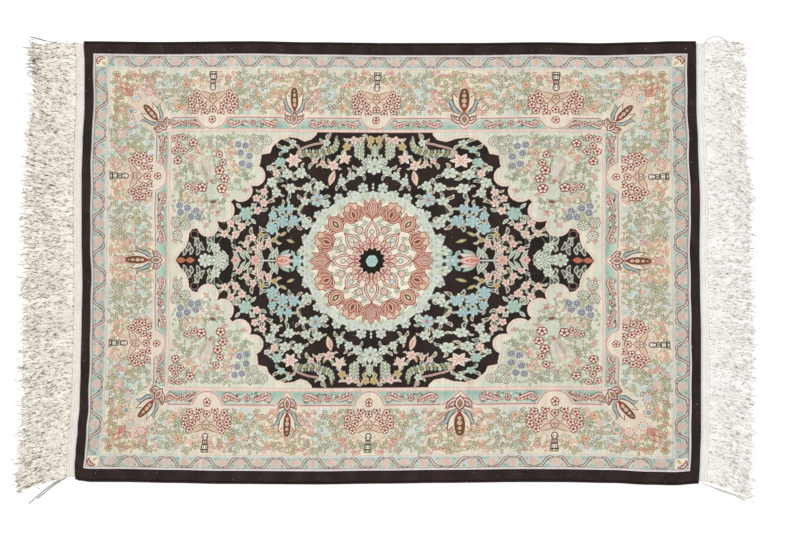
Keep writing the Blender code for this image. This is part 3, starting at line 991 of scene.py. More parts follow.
    def draw_garden(self) -> None:
        """The flowers, leaves and garlands on the medallion's dark ground."""
        c, rng = self.chart, self.rng
        pale, aqua = (Dye.WHITE, Dye.SAGE, Dye.TEAL), (Dye.AQUA, Dye.TEAL, Dye.WHITE)
        sky, pink = (Dye.SKY, Dye.STEEL, Dye.WHITE), (Dye.BLUSH, Dye.ROSE, Dye.ROSE)
        gold = (Dye.GOLD, Dye.OLIVE, Dye.ROSE)
        garden = (
            (pale, ((81.5, 119, 3.6), (86.2, 86.5, 5.4), (72.8, 87.8, 5.8), (101.4, 77.7, 5.2), (96.9, 67.2, 4.8),
                    (82.3, 71.8, 5.4), (65.9, 73, 4.8), (53.8, 74.7, 5.2), (69.5, 42.7, 3.6), (47.8, 119.4, 3.8),
                    (13.2, 90, 5), (22.2, 85, 4.6), (68.4, 58.7, 4.2), (156.8, 12.5, 4.8), (31.5, 79, 4.4),
                    (104, 92.5, 3.2), (8.5, 100.5, 3.4))),
            (aqua, ((89.3, 112.2, 4), (93.8, 98.7, 5.2), (126.6, 46.1, 6.8))),
            (sky, ((91.3, 50.3, 4.6), (82.8, 51.6, 4.6), (99.8, 44.4, 4.5), (89.6, 38.5, 6.2), (78.2, 39.4, 5.6),
                   (100.3, 31.8, 6.2), (55.8, 60.4, 7.0))),
            (pink, ((109, 68, 3.8), (117, 61.3, 3.8), (109.2, 56.6, 4), (115.3, 49, 4), (141.8, 36.2, 4),
                    (130.9, 33.2, 4.2), (148.3, 26.3, 3.9), (137.1, 25.4, 4.1), (119.8, 22.4, 3.6),
                    (126.4, 16, 3.7), (111.7, 15.1, 3.4), (104, 16, 3.6), (133.6, 10.8, 3.2), (114.9, 9.1, 3.2),
                    (59.4, 100.8, 3.4), (51.7, 97.9, 3.3), (41, 95.8, 5.2), (20.9, 122, 4.2), (13.3, 122.3, 3),
                    (96.8, 87.4, 4))),
            (gold, ((111.6, 25, 3), (98.1, 20.3, 2.8), (27.9, 115.2, 4.2), (4.1, 122.7, 4.2))),
        )
        for _, places in garden:
            for a, b, r in places:
                first = rng.uniform(0, 360)
                for k in range(3):
                    heart = (Dye.SHADE, Dye.MOSS, Dye.SAGE, Dye.SHADE)[int(rng.integers(0, 4))]
                    leaf = Spot(a, b, first + 120 * k + rng.uniform(-35, 35)).on(r - 1)
                    if self.is_dark(leaf.on(6), 0.5):
                        line = Dye.MIST if k % 2 else Dye.BEIGE
                        c.curl(leaf, 5 + rng.uniform(0, 3.4), float(rng.choice((-1.8, 1.8))), line, heart)
        middles = [(a, b) for _, places in garden for a, b, _ in places]
        for a, b in middles:
            near = min(middles, key=lambda m: (m[0] - a) ** 2 + (m[1] - b) ** 2 if m > (a, b) else 1e6)
            if math.hypot(near[0] - a, near[1] - b) < 17:
                bend = ((a + near[0]) / 2 + 2, (b + near[1]) / 2 - 2)
                c.stroke(smooth([(a, b), bend, near]), 0.7, Dye.SAGE, 0.7)
        garland = smooth([(76, 106.5), (68, 108.4), (58, 108), (49, 110), (41.5, 113), (39, 118), (38, 122.5)], 3)
        for k, (a, b) in enumerate(garland):
            for turn in (-70, 70):
                c.leaf(Spot(a, b, 160 + turn), 4.6, 2.6, Dye.MIST if k % 2 else Dye.SAGE, Dye.MOSS)
        c.stroke(garland, 1.0, Dye.GOLD, 0.8)
        ribbon = smooth([(44.5, 129.6), (46, 124), (51.2, 119.4), (61, 117.5), (72, 113.5), (77, 109), (74, 106)])
        c.stroke(ribbon, 2.0, Dye.PINK)
        c.stroke(ribbon, 0.6, Dye.WINE, 0.7)
        c.spray(Spot(15.5, 102, 90), 17, 4, Dye.MIST, Dye.MOSS)
        for a, b, turn in ((86, 21, 200), (93, 24, 150), (101, 26, 120), (24, 100, 40), (5, 112, 100), (47, 104, 250)):
            c.leaf(Spot(a, b, turn), 9, 3.6, Dye.OLIVE, Dye.GOLD)
        c.star(Spot(80.4, 100.8), 8.4, 6, Dye.BLUSH, Dye.ROSE)
        c.star(Spot(30.3, 103.4, 20), 7.5, 5, Dye.BLUSH, Dye.ROSE)
        c.leaf(Spot(39.5, 91, -75), 17, 6.4, Dye.PINK, Dye.PEACH)
        c.petal(Spot(39.5, 89, -75), 11, 1.2, Dye.ROSE)
        for (petals, vein, heart), places in garden:
            for a, b, r in places:
                c.blossom(Spot(a, b, rng.uniform(0, 60)), 0.94 * r, petals, vein, heart, 6 if r > 4.4 else 5)
        for turn in range(0, 360, 45):
            c.petal(Spot(55.8, 60.4, turn).on(3.4), 3.2, 1.6, Dye.LILAC, 1.0, 0.7)
        c.disc(Spot(55.8, 60.4), 1.9, Dye.ROSE, 0.9)
        for turn in (45, 135, 225, 315):
            c.leaf(Spot(126.6, 46.1, turn).on(6.6), 8, 3.4, Dye.WHITE, Dye.SAGE)

    def draw_axes(self) -> None:
        """The motifs on the medallion's long and short axes."""
        c = self.chart
        for a in (196, 187):
            c.leaf(Spot(a, 0, 180), 9.6, 5.8, Dye.RUST, Dye.CORAL)
            c.petal(Spot(a - 1, 0, 180), 7, 1.2, Dye.RUST)
        for a, b, turn in ((189, 4.5, 80), (182, 5.5, 76), (175.5, 5, 80), (186, 9, 96), (178, 14, 80), (168, 10, 75),
                           (172.5, 14, 84), (160, 17, 62), (159, 17, 105), (163, 8, 120)):
            c.curl(Spot(a, b, turn), 9, 2.4 if a > 175 else -2.4, Dye.MIST, Dye.SHADE)
        c.ring(Spot(178.5, 25.5), 4.0, 0.9, Dye.PINK, 0.5)
        c.blossom(Spot(167.2, 0), 6.6, Dye.WHITE, Dye.SAGE, Dye.ROSE, 8)
        for turn in range(-10, 191, 33):
            c.leaf(Spot(153, 0, turn), 11, 3.6, Dye.WHITE, Dye.SAGE)
        c.blossom(Spot(153.4, 0), 5, Dye.WHITE, Dye.SAGE, Dye.PINK, 8)
        c.blossom(Spot(136.2, 0), 4.5, Dye.PINK, Dye.ROSE, Dye.MADDER)
        for a in (143, 132, 126, 121, 108):
            c.leaf(Spot(a, 0, 54), 13, 3.2, Dye.WHITE, Dye.SAGE)
        c.star(Spot(116.3, 0), 6.5, 8, Dye.PINK, Dye.ROSE)
        c.stroke([(112, 0), (97, 0)], 1.4, Dye.WHITE)
        for a, turn, length in ((104, 128, 12), (100, 112, 14), (96, 96, 11)):
            c.leaf(Spot(a, 1, turn), length, 3.6, Dye.WHITE, Dye.SAGE)
        c.leaf(Spot(95, 0, 138), 17, 6.5, Dye.TEAL, Dye.AQUA)
        c.leaf(Spot(97, 0, 158), 19, 7, Dye.ROSE, Dye.ICE)
        c.leaf(Spot(97, 0, 180), 18, 10, Dye.ROSE, Dye.PINK, 0.9)
        c.petal(Spot(95, 0, 180), 12, 4.4, Dye.CORAL, 1.0, 0.8)
        c.ring(Spot(86, 0), 2.4, 0.8, Dye.BLUSH, 0.8)
        c.disc(Spot(94, 0), 1.4, Dye.ROSE)
        c.blossom(Spot(75, 0), 5.6, Dye.SKY, Dye.STEEL, Dye.BLUSH)
        for turn in (60, 100):
            c.leaf(Spot(75, 0, turn).on(5), 7, 3.6, Dye.AQUA, Dye.TEAL)
        for turn in (20, 60, -20):
            c.leaf(Spot(0, 95, turn).on(7.5), 7, 4, Dye.WHITE, Dye.SAGE)
        c.blossom(Spot(0, 95), 8.2, Dye.WHITE, Dye.SAGE, Dye.SAGE, 8)
        c.spray(Spot(0, 104, 90), 12, 3, Dye.MIST, Dye.MOSS)

    def draw_roundel(self) -> None:
        """The light roundel: blossoms round a ring of large flowers, a lattice of ogives and a dark star."""
        c, middle = self.chart, Spot(0, 0)
        rng = self.rng
        for k in range(34):
            spot = middle.to(10.6 * k + 8).on(69 + rng.uniform(0, 6.5))
            c.blossom(spot, 4.6 + rng.uniform(-0.8, 0.6), Dye.ICE if k % 2 else Dye.WHITE, Dye.SAGE, Dye.SAGE, 6)
        c.disc(middle, 68.5, Dye.MIST)
        for k in range(52):
            c.leaf(middle.to(6.92 * k).on(62 + 3 * (k % 3), 0, 60 - 120 * (k % 2)), 9, 3.4, Dye.SAGE, Dye.WHITE,
                   1.0, 0.55)
        for k in range(24):
            c.lobes(middle.to(15 * k).on(65 + 2 * (k % 2)), 5.4, 8, 0.24, Dye.SAGE, 0.35)
            c.blossom(middle.to(15 * k).on(65 + 2 * (k % 2)), 4.7, Dye.ICE, Dye.MIST, Dye.SAGE, 6)
        c.disc(middle, 60, Dye.CREAM)
        for k in range(64):
            c.leaf(middle.to(5.6 * k).on(53 + 2.5 * (k % 3), 0, 30 - 60 * (k % 2)), 7, 3.2, Dye.SAGE, Dye.MIST,
                   1.0, 0.5)
        for k in range(48):
            c.leaf(middle.to(7.5 * k).on(36 + 3 * (k % 2), 0, 65 - 130 * (k % 2)), 7, 3.5, Dye.SAGE, Dye.MIST,
                   1.0, 0.7)
        for k in range(16):
            foot = middle.to(22.5 * k).on(42)
            draw = (c.tulip, c.full_flower, c.eye_flower, c.full_flower)[k % 4]
            draw(foot)
        self.draw_lattice(middle)

    def draw_lattice(self, middle: Spot) -> None:
        """The roundel's inner ogives, its lace and the dark star round a blue disc."""
        c = self.chart
        for k in range(16):
            spot = middle.to(22.5 * k)
            if k % 2:
                for side, ahead, turn in ((-1, 33, 60), (1, 33, 60), (-1, 29, 110), (1, 29, 110)):
                    c.leaf(spot.on(ahead).to(side * turn), 8, 4.2, Dye.SAGE, Dye.MIST, 1.0, 0.8)
                c.lobes(spot.on(33), 4.4, 4, 0.22, Dye.GREY, 0.8)
                c.lobes(spot.on(33), 3.3, 4, 0.22, Dye.PINK)
            c.ring(spot.on(17), 3.8, 1.0, Dye.ROSE, 0.8)
        for k in (1, 3, 5, 7, 0, 2, 4, 6):
            spot, reach = middle.to(45 * k), 38 if k % 2 else 41
            c.nest(spot.on(12), reach - 12, 15, (Dye.MADDER, Dye.CREAM, Dye.MADDER, Dye.CREAM), 1.15)
            c.nest(spot.on(14), 13, 7, (Dye.MADDER, Dye.CREAM, Dye.ROSE, Dye.CREAM))
            c.lobes(spot.on(29), 3.0, 6, 0.2, Dye.STEEL if k % 2 else Dye.SAGE, 0.85)
            c.disc(spot.on(29), 1.7, Dye.ICE)
            c.petal(spot.on(reach - 2), 4, 2.2, Dye.MADDER, 1.0, 0.8)
        for k in range(16):
            c.nest(middle.to(22.5 * k + 11.25).on(13), 12, 5, (Dye.MADDER, Dye.CREAM, Dye.ROSE), 1.1)
            c.disc(middle.to(22.5 * k + 11.25).on(24), 1.2, Dye.STEEL if k % 4 == 1 else Dye.ROSE, 0.6)
        for k in range(24):
            c.leaf(middle.to(15 * k).on(10), 9, 3.2, Dye.MADDER, Dye.CREAM, 1.0, 0.8)
            c.disc(middle.to(15 * k + 7.5).on(17.5), 0.8, Dye.MADDER, 0.7)
            c.disc(middle.to(15 * k + 7.5).on(20.5), 0.7, Dye.MADDER, 0.6)
        for k in range(14):
            c.petal(middle.to(360 * k / 14).on(7), 6.8, 5.4, Dye.NIGHT, 0.8)
        c.disc(middle, 10.6, Dye.NIGHT)
        c.lobes(middle, 5.9, 6, 0.08, Dye.AQUA)
        c.lobes(middle, 5.0, 6, 0.08, Dye.SKY)
        for k in range(6):
            c.disc(middle.to(60 * k + 30).on(3.2), 0.7, Dye.STEEL, 0.8)
        c.disc(middle, 0.9, Dye.STEEL)


@dataclass
class ClothShape:
    """Where the rug's cloth lies: its outline, and the middle line of its design."""

    half_length: float = 0.490
    half_width: float = 0.352
    pile_top: float = 0.0052
    unevenness: float = 0.00035
    cord_width: float = 0.0030
    pile_start: float = 0.0051
    stations: int = 16
    shift: np.ndarray = field(init=False)

    def __post_init__(self) -> None:
        """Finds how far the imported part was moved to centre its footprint."""
        self.shift = np.zeros(2)
        start = 1 - self.pile_start / self.half_width
        cord = 1 - self.cord_width * np.array([0, 0.5, 1]) / self.half_width
        across = np.concatenate([start * np.linspace(-1, 1, self.stations + 1), cord, -cord])
        along = np.linspace(-1, 1, 31)
        low = (self.end_x(-1, across).min(), self.edge_y(-1, along).min())
        high = (self.end_x(1, across).max(), self.edge_y(1, along).max())
        packed = np.mean(np.array(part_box("rug_pile"))[:, :2], axis=0)
        self.shift = packed - np.mean([low, high], axis=0)

    def end_x(self, side: int, across: np.ndarray | float) -> np.ndarray:
        """The end line's x, on the left where side is -1."""
        edge = LEFT_EDGE if side < 0 else RIGHT_EDGE
        return side * (self.half_length + eased(edge, across) * MM) + self.shift[0]

    def edge_y(self, side: int, along: np.ndarray | float) -> np.ndarray:
        """The long side's y, on the near side where side is -1."""
        edge = NEAR_EDGE if side < 0 else FAR_EDGE
        return side * (self.half_width + eased(edge, along) * MM) + self.shift[1]

    def place(self, u: np.ndarray, v: np.ndarray) -> np.ndarray:
        """Where places of the design lie on the floor.

        Args:
            u: From -1 to 1 along the design, 0 on its middle line.
            v: From -1 to 1 across it.

        Returns:
            Their x and y.
        """
        left, right = self.end_x(-1, v), self.end_x(1, v)
        middle = eased(MIDDLE_LINE, v) * MM + self.shift[0]
        x = middle + np.where(u < 0, middle - left, right - middle) * u
        along = 2 * (x - left) / (right - left) - 1
        near, far = self.edge_y(-1, along), self.edge_y(1, along)
        return np.stack([x, near + (far - near) * (v + 1) / 2], axis=-1)

    def swell(self, u: np.ndarray, v: np.ndarray) -> np.ndarray:
        """The pile's height, a little uneven."""
        return self.pile_top + self.unevenness * np.sin(5.3 * u + 2.1 * v) * np.cos(6.1 * v)


def grid_mesh(name: str, points: np.ndarray, wool: np.ndarray | None = None) -> bpy.types.Mesh:
    """A mesh of one sheet.

    Args:
        name: The mesh's name.
        points: The grid's points, by row and column.
        wool: Its colours by row and column, one for each face or two by two.

    Returns:
        The mesh, with a flat UV map.
    """
    rows, columns = points.shape[:2]
    index = np.arange(rows * columns).reshape(rows, columns)
    quads = np.stack([index[:-1, :-1], index[:-1, 1:], index[1:, 1:], index[1:, :-1]], axis=-1).reshape(-1, 4)
    mesh = bpy.data.meshes.new(name)
    mesh.from_pydata(points.reshape(-1, 3), [], quads)
    flat = points.reshape(-1, 3)[:, :2]
    flat = (flat - flat.min(axis=0)) / (flat.max(axis=0) - flat.min(axis=0))
    mesh.uv_layers.new(name="OFBake").data.foreach_set("uv", flat[quads].astype(np.float32).ravel())
    if wool is not None:
        if len(wool) < rows:
            wool = wool.repeat(2, axis=0).repeat(2, axis=1)
        corners = [wool[::2, ::2], wool[::2, 1::2], wool[1::2, 1::2], wool[1::2, ::2]]
        paint(mesh, np.stack(corners, axis=2).reshape(-1, 3), "CORNER")
    mesh.shade_smooth()
    return mesh


def tube_mesh(name: str, paths: np.ndarray, radii: np.ndarray, sides: int,
              tones: np.ndarray | None = None) -> bpy.types.Mesh:
    """A mesh of separate tubes.

    Args:
        name: The mesh's name.
        paths: Each tube's points.
        radii: Its radius at each of them, sideways and up.
        sides: How many sides a tube has.
        tones: A colour for each tube, or for each of its points.

    Returns:
        The mesh, with its UV map along and round the tubes.
    """
    count, steps = paths.shape[:2]
    ahead = np.gradient(paths, axis=1)
    ahead /= np.linalg.norm(ahead, axis=2, keepdims=True)
    aside = np.cross(ahead, (0, 0, 1))
    aside /= np.linalg.norm(aside, axis=2, keepdims=True)
    up = np.cross(aside, ahead)
    angle = 2 * math.pi * (np.arange(sides) + 0.5) / sides
    ring = (np.cos(angle)[:, None] * aside[:, :, None] * radii[:, :, None, :1]
            + np.sin(angle)[:, None] * up[:, :, None] * radii[:, :, None, 1:])
    points = paths[:, :, None] + ring
    index = np.arange(count * steps * sides).reshape(count, steps, sides)
    after = np.roll(index, -1, axis=2)
    walls = np.stack([index[:, :-1], index[:, 1:], after[:, 1:], after[:, :-1]], axis=-1).reshape(-1, 4)
    mesh = bpy.data.meshes.new(name)
    caps = [index[:, 0].tolist(), index[:, -1, ::-1].tolist()]
    mesh.from_pydata(points.reshape(-1, 3), [], [*walls.tolist(), *caps[0], *caps[1]])
    length = np.linalg.norm(np.diff(paths, axis=1, prepend=paths[:, :1]), axis=2).cumsum(axis=1)
    along = np.repeat(length[:, :, None], sides, axis=2).ravel()
    around = np.tile(np.arange(sides) / sides, count * steps)
    corners = np.zeros(len(mesh.loops), np.int32)
    mesh.loops.foreach_get("vertex_index", corners)
    uv = np.stack([along[corners], around[corners]], axis=-1)
    mesh.uv_layers.new(name="Yarn").data.foreach_set("uv", uv.astype(np.float32).ravel())
    if tones is not None:
        tones = np.broadcast_to(tones.reshape(count, -1, 3), (count, steps, 3)).reshape(-1, 3)
        paint(mesh, np.repeat(tones, sides, axis=0), "POINT")
    mesh.shade_smooth()
    return mesh


def paint(mesh: bpy.types.Mesh, colours: np.ndarray, domain: str) -> None:
    """Keeps the wool's colours on a mesh, one for each corner or point."""
    wool = mesh.color_attributes.new("Wool", "BYTE_COLOR", domain)
    solid = np.concatenate([np.clip(colours, 0, 1), np.ones((len(colours), 1))], axis=1)
    wool.data.foreach_set("color_srgb", solid.astype(np.float32).ravel())


def add_piece(name: str, mesh: bpy.types.Mesh, finish: bpy.types.Material, node: str) -> bpy.types.Object:
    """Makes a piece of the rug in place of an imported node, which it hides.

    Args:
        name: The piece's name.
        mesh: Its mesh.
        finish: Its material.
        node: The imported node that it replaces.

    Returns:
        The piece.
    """
    piece = bpy.data.objects.new(name, mesh)
    bpy.context.scene.collection.objects.link(piece)
    mesh.materials.append(finish)
    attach(piece, BODY)
    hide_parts(node)
    log.info("%s: %d faces", name, len(mesh.polygons))
    return piece


class NodeMaker:
    """Adds nodes to one node tree and joins them."""

    def __init__(self, tree: bpy.types.NodeTree) -> None:
        """Takes the tree."""
        self.tree = tree

    def add(self, kind: str, **values: object) -> bpy.types.Node:
        """Adds a node.

        Args:
            kind: The node's type, without its prefix.
            values: Its settings, and its inputs by their names with _ for a space.

        Returns:
            The node.
        """
        node = self.tree.nodes.new(kind if kind.startswith("NodeGroup") else "ShaderNode" + kind)
        for key, value in values.items():
            if hasattr(node, key):
                setattr(node, key, value)
                continue
            socket = node.inputs[int(key[1:])] if key[1:].isdigit() else node.inputs[key.replace("_", " ")]
            if isinstance(value, bpy.types.NodeSocket):
                self.tree.links.new(value, socket)
            else:
                socket.default_value = value
        return node


def tuft_group() -> bpy.types.NodeTree:
    """The cut tufts of a knotted pile: a tone and a height, from a place in metres.

    Returns:
        The node group.
    """
    tree = bpy.data.node_groups.new("CutTufts", "ShaderNodeTree")
    for name, kind in (("Place", "NodeSocketVector"), ("Knots per metre", "NodeSocketFloat")):
        tree.interface.new_socket(name, in_out="INPUT", socket_type=kind)
    for name in ("Tone", "Height", "Lint"):
        tree.interface.new_socket(name, in_out="OUTPUT", socket_type="NodeSocketFloat")
    make = NodeMaker(tree)
    given = make.add("NodeGroupInput")
    taken = make.add("NodeGroupOutput")
    cells = make.add("TexVoronoi", feature="F1", Vector=given.outputs["Place"],
                     Scale=given.outputs["Knots per metre"], Randomness=0.7)
    fuzz = make.add("TexNoise", Vector=given.outputs["Place"], Scale=2600.0, Detail=3.0)
    wear = make.add("TexNoise", Vector=given.outputs["Place"], Scale=34.0, Detail=4.0, Roughness=0.6)
    height = make.add("Math", operation="MULTIPLY_ADD", _0=cells.outputs["Distance"], _1=-0.8,
                      _2=fuzz.outputs["Fac"])
    tone = make.add("Math", operation="MULTIPLY_ADD", _0=fuzz.outputs["Fac"], _1=0.5, _2=wear.outputs["Fac"])
    specks = make.add("TexNoise", Vector=given.outputs["Place"], Scale=420.0, Detail=1.0)
    lint = make.add("MapRange", Value=specks.outputs["Fac"], _1=0.76, _2=0.80)
    links = tree.links
    links.new(tone.outputs[0], taken.inputs["Tone"])
    links.new(height.outputs[0], taken.inputs["Height"])
    links.new(lint.outputs["Result"], taken.inputs["Lint"])
    return tree


@dataclass(frozen=True)
class WoolFinish:
    """Dyed wool: the chart's colours on cut tufts, softly worn."""

    name: str
    tufts: bpy.types.NodeTree
    knots_per_metre: float = 760.0
    depth: float = 0.0006
    sheen: float = 0.04
    lightest: float = 1.1
    darkest: float = 0.94

    def build(self) -> bpy.types.Material:
        """Makes the material.

        Returns:
            The material.
        """
        made = bpy.data.materials.new(self.name)
        made.use_nodes = True
        make = NodeMaker(made.node_tree)
        shader = made.node_tree.nodes["Principled BSDF"]
        place = make.add("TexCoord").outputs["Object"]
        tufts = make.add("Group", node_tree=self.tufts, Place=place, Knots_per_metre=self.knots_per_metre)
        wool = make.add("VertexColor", layer_name="Wool")
        gain = make.add("MapRange", Value=tufts.outputs["Tone"], _1=0.5, _2=1.0, _3=self.darkest, _4=self.lightest)
        toned = make.add("VectorMath", operation="SCALE", _0=wool.outputs["Color"], Scale=gain.outputs["Result"])
        lint = make.add("Mix", data_type="RGBA", Factor=tufts.outputs["Lint"], A=toned.outputs[0],
                        B=linear((196, 188, 176)))
        bump = make.add("Bump", Strength=0.6, Distance=self.depth, Height=tufts.outputs["Height"])
        links = made.node_tree.links
        links.new(lint.outputs["Result"], shader.inputs["Base Color"])
        links.new(bump.outputs["Normal"], shader.inputs["Normal"])
        shader.inputs["Roughness"].default_value = 0.9
        shader.inputs["Specular IOR Level"].default_value = 0.08
        shader.inputs["Sheen Weight"].default_value = self.sheen
        shader.inputs["Sheen Roughness"].default_value = 0.45
        return made


@dataclass(frozen=True)
class CottonFinish:
    """Undyed cotton yarn with a twist, a little dirty, with a painted glow: it emits its own colour to look brighter,
    though it is no lamp.
    """

    name: str
    # Painted glow: how strongly the yarn emits its own colour to look brighter.
    glow: float = 0.0
    turns_per_metre: float = 620.0
    depth: float = 0.0003

    def build(self) -> bpy.types.Material:
        """Makes the material.

        Returns:
            The material.
        """
        made = bpy.data.materials.new(self.name)
        made.use_nodes = True
        make = NodeMaker(made.node_tree)
        shader = made.node_tree.nodes["Principled BSDF"]
        yarn = make.add("UVMap", uv_map="Yarn").outputs["UV"]
        turned = make.add("Mapping", Vector=yarn, Scale=(self.turns_per_metre, 1.0, 1.0))
        ply = make.add("TexWave", wave_type="BANDS", bands_direction="DIAGONAL", Vector=turned.outputs[0],
                       Scale=0.32, Distortion=0.6)
        place = make.add("TexCoord").outputs["Object"]
        soil_and_gap_shade = make.add("TexNoise", Vector=place, Scale=46.0, Detail=5.0)
        gain = make.add("MapRange", Value=soil_and_gap_shade.outputs["Fac"], _1=0.3, _2=0.7, _3=0.93, _4=1.03)
        tone = make.add("VertexColor", layer_name="Wool")
        toned = make.add("VectorMath", operation="SCALE", _0=tone.outputs["Color"], Scale=gain.outputs["Result"])
        bump = make.add("Bump", Strength=0.5, Distance=self.depth, Height=ply.outputs["Fac"])
        links = made.node_tree.links
        links.new(toned.outputs[0], shader.inputs["Base Color"])
        # Painted glow: the yarn's colour is also emitted, which brightens it though it is no lamp.
        links.new(toned.outputs[0], shader.inputs["Emission Color"])
        links.new(bump.outputs["Normal"], shader.inputs["Normal"])
        shader.inputs["Emission Strength"].default_value = self.glow
        shader.inputs["Roughness"].default_value = 0.9
        shader.inputs["Specular IOR Level"].default_value = 0.15
        return made


@dataclass
class KnottedPile:
    """The knotted cloth: its pile in four pieces, its back and its overcast edges."""

    shape: ClothShape
    design: RugDesign
    finish: bpy.types.Material
    back_finish: bpy.types.Material
    cord_finish: bpy.types.Material
    rim: float = 0.0009
    floor_gap: float = 0.0006
    groove: float = 0.0036
    groove_height: float = 0.0022
    back_step: int = 8
    face_rows: int = 428
    face_columns: int = 600
    calm: float = 0.06
    crispness: float = 0.35
    cord_top: float = 0.0044

    def colours(self) -> np.ndarray:
        """The whole chart's colours, each knot a little different.

        Returns:
            Colours by row and column, the near left corner first.
        """
        quarter, chart = self.design.draw(), self.design.chart
        rows, columns = 2 * self.face_rows, 2 * self.face_columns
        share = 1 - self.shape.pile_start / self.shape.half_width
        wool = sampled(quarter, NEAR_LINES, FAR_LINES, share, chart.width, rows)
        left = sampled(wool.swapaxes(0, 1), LEFT_LINES, LEFT_LINES, 1.0, chart.length, columns)[:columns // 2]
        right = sampled(wool.swapaxes(0, 1), RIGHT_LINES, RIGHT_LINES, 1.0, chart.length, columns)[columns // 2:]
        wool = np.concatenate([left, right]).swapaxes(0, 1)
        wool = mix(wool, wool.mean(axis=2, keepdims=True), np.array(self.calm))
        near = sum(np.roll(wool, step, axis) for step in (-2, 2) for axis in (0, 1)) / 4
        wool += (wool - near) * self.crispness
        rng = np.random.default_rng(5)
        knot = rng.normal(0, 0.03, (rows, columns, 1))
        hue = rng.normal(0, 0.01, (rows, columns, 3))
        streak = rng.normal(0, 1, (rows, columns))
        for axis, reach in ((0, 44), (1, 4)):
            kernel = np.hanning(reach * 2 + 1)
            streak = np.apply_along_axis(np.convolve, axis, streak, kernel / kernel.sum(), mode="same")
        streak = (streak / streak.std())[..., None] * 0.014
        abrash = eased(self.abrash, np.linspace(-1, 1, columns))[None, :, None]
        return wool * (1 + knot + streak + abrash) + hue

    @property
    def abrash(self) -> tuple[tuple[float, float], ...]:
        """How the dye lots change along the rug: (place, lightness)."""
        return ((-1.0, -0.03), (-0.86, -0.015), (-0.7, 0.0), (-0.4, 0.012), (-0.1, 0.0), (0.2, 0.014), (0.5, 0.0),
                (0.8, 0.01), (1.0, -0.02))

    def build(self) -> list[bpy.types.Object]:
        """Builds the pile, the back and the edges.

        Returns:
            The pile's four pieces.
        """
        wool = self.colours()
        rows, columns = wool.shape[0] // 2, wool.shape[1] // 2
        start = 1 - self.shape.pile_start / self.shape.half_width
        end = 1 - self.rim / self.shape.half_length
        lip = 1 - (self.groove + 0.0006) / self.shape.half_width
        u = np.concatenate([[-1, -1], np.linspace(-end, end, columns + 1), [1, 1]])
        v = np.concatenate([[-lip - 0.0017, -lip], np.linspace(-start, start, rows + 1), [lip, lip + 0.0017]])
        uu, vv = np.meshgrid(u, v)
        rng = np.random.default_rng(8)
        height = self.shape.swell(uu, vv) + rng.normal(0, 0.00004, uu.shape)
        rims = ((0, self.floor_gap, self.groove_height), (1, self.shape.pile_top - 0.0010, 0.0044))
        for step, at_end, at_side in rims:
            for column in (step, -1 - step):
                height[:, column] = np.minimum(height[:, column], at_end)
            for row in (step, -1 - step):
                height[row] = np.minimum(height[row], at_side)
        sway = 0.0004 * np.sin(31 * vv + 3 * uu) + 0.0003 * np.sin(17 * vv - 9 * uu)
        flat = self.shape.place(uu, vv)
        flat[..., 0] += sway * (np.abs(uu) < 0.98)
        points = np.concatenate([flat, height[..., None]], axis=-1)
        wool = np.pad(wool, ((4, 4), (4, 4), (0, 0)), mode="edge")
        half_row, half_column = rows // 2 + 2, columns // 2 + 2
        pieces = []
        for label, low_row, low_column in (("near_left", 0, 0), ("near_right", 0, half_column),
                                           ("far_left", half_row, 0), ("far_right", half_row, half_column)):
            part = slice(low_row, low_row + half_row + 1), slice(low_column, low_column + half_column + 1)
            faces = (slice(2 * low_row, 2 * (low_row + half_row)),
                     slice(2 * low_column, 2 * (low_column + half_column)))
            mesh = grid_mesh("pile_" + label, points[part], wool[faces])
            pieces.append(add_piece("pile_" + label, mesh, self.finish, "rug_pile"))
        self.build_back(wool)
        for side, label in ((-1, "near"), (1, "far")):
            self.build_cord(side, label)
        return pieces

    def build_back(self, wool: np.ndarray) -> None:
        """The rug's back, which shows the design more coarsely."""
        step = self.back_step
        picked = wool[step // 2::step, step // 2::step]
        u = np.linspace(-1, 1, picked.shape[1] + 1) * (1 - 0.0004)
        v = np.linspace(-1, 1, picked.shape[0] + 1) * (1 - self.shape.cord_width / 2 / self.shape.half_width)
        uu, vv = np.meshgrid(u, v)
        flat = self.shape.place(uu, vv)
        points = np.concatenate([flat, np.full((*uu.shape, 1), self.floor_gap * 0.6)], axis=-1)
        mesh = grid_mesh("rug_back", points[::-1], (picked * 0.94)[::-1])
        add_piece("rug_back", mesh, self.back_finish, "rug_pile")

    def build_cord(self, side: int, label: str) -> None:
        """The overcast cord along a long side."""
        steps = 420
        u = np.linspace(-1, 1, steps)
        inset = 1 - self.shape.cord_width / 2 / self.shape.half_width
        flat = self.shape.place(u, np.full(steps, side * inset))
        lift = self.cord_top / 2 + 0.0001 * np.sin(np.arange(steps) * 1.7)
        path = np.concatenate([flat, lift[:, None]], axis=-1)[None]
        swell = 1 + 0.05 * np.sin(np.arange(steps) * 2.3)
        radii = np.stack([self.shape.cord_width / 2 * 1.1 * swell, (self.cord_top / 2 - 0.0001) * np.ones(steps)], axis=-1)
        mesh = tube_mesh("edge_cord_" + label, path, radii[None], 10, Dye.BAND.rgb[None] * 0.94)
        add_piece("edge_cord_" + label, mesh, self.cord_finish, "rug_pile")


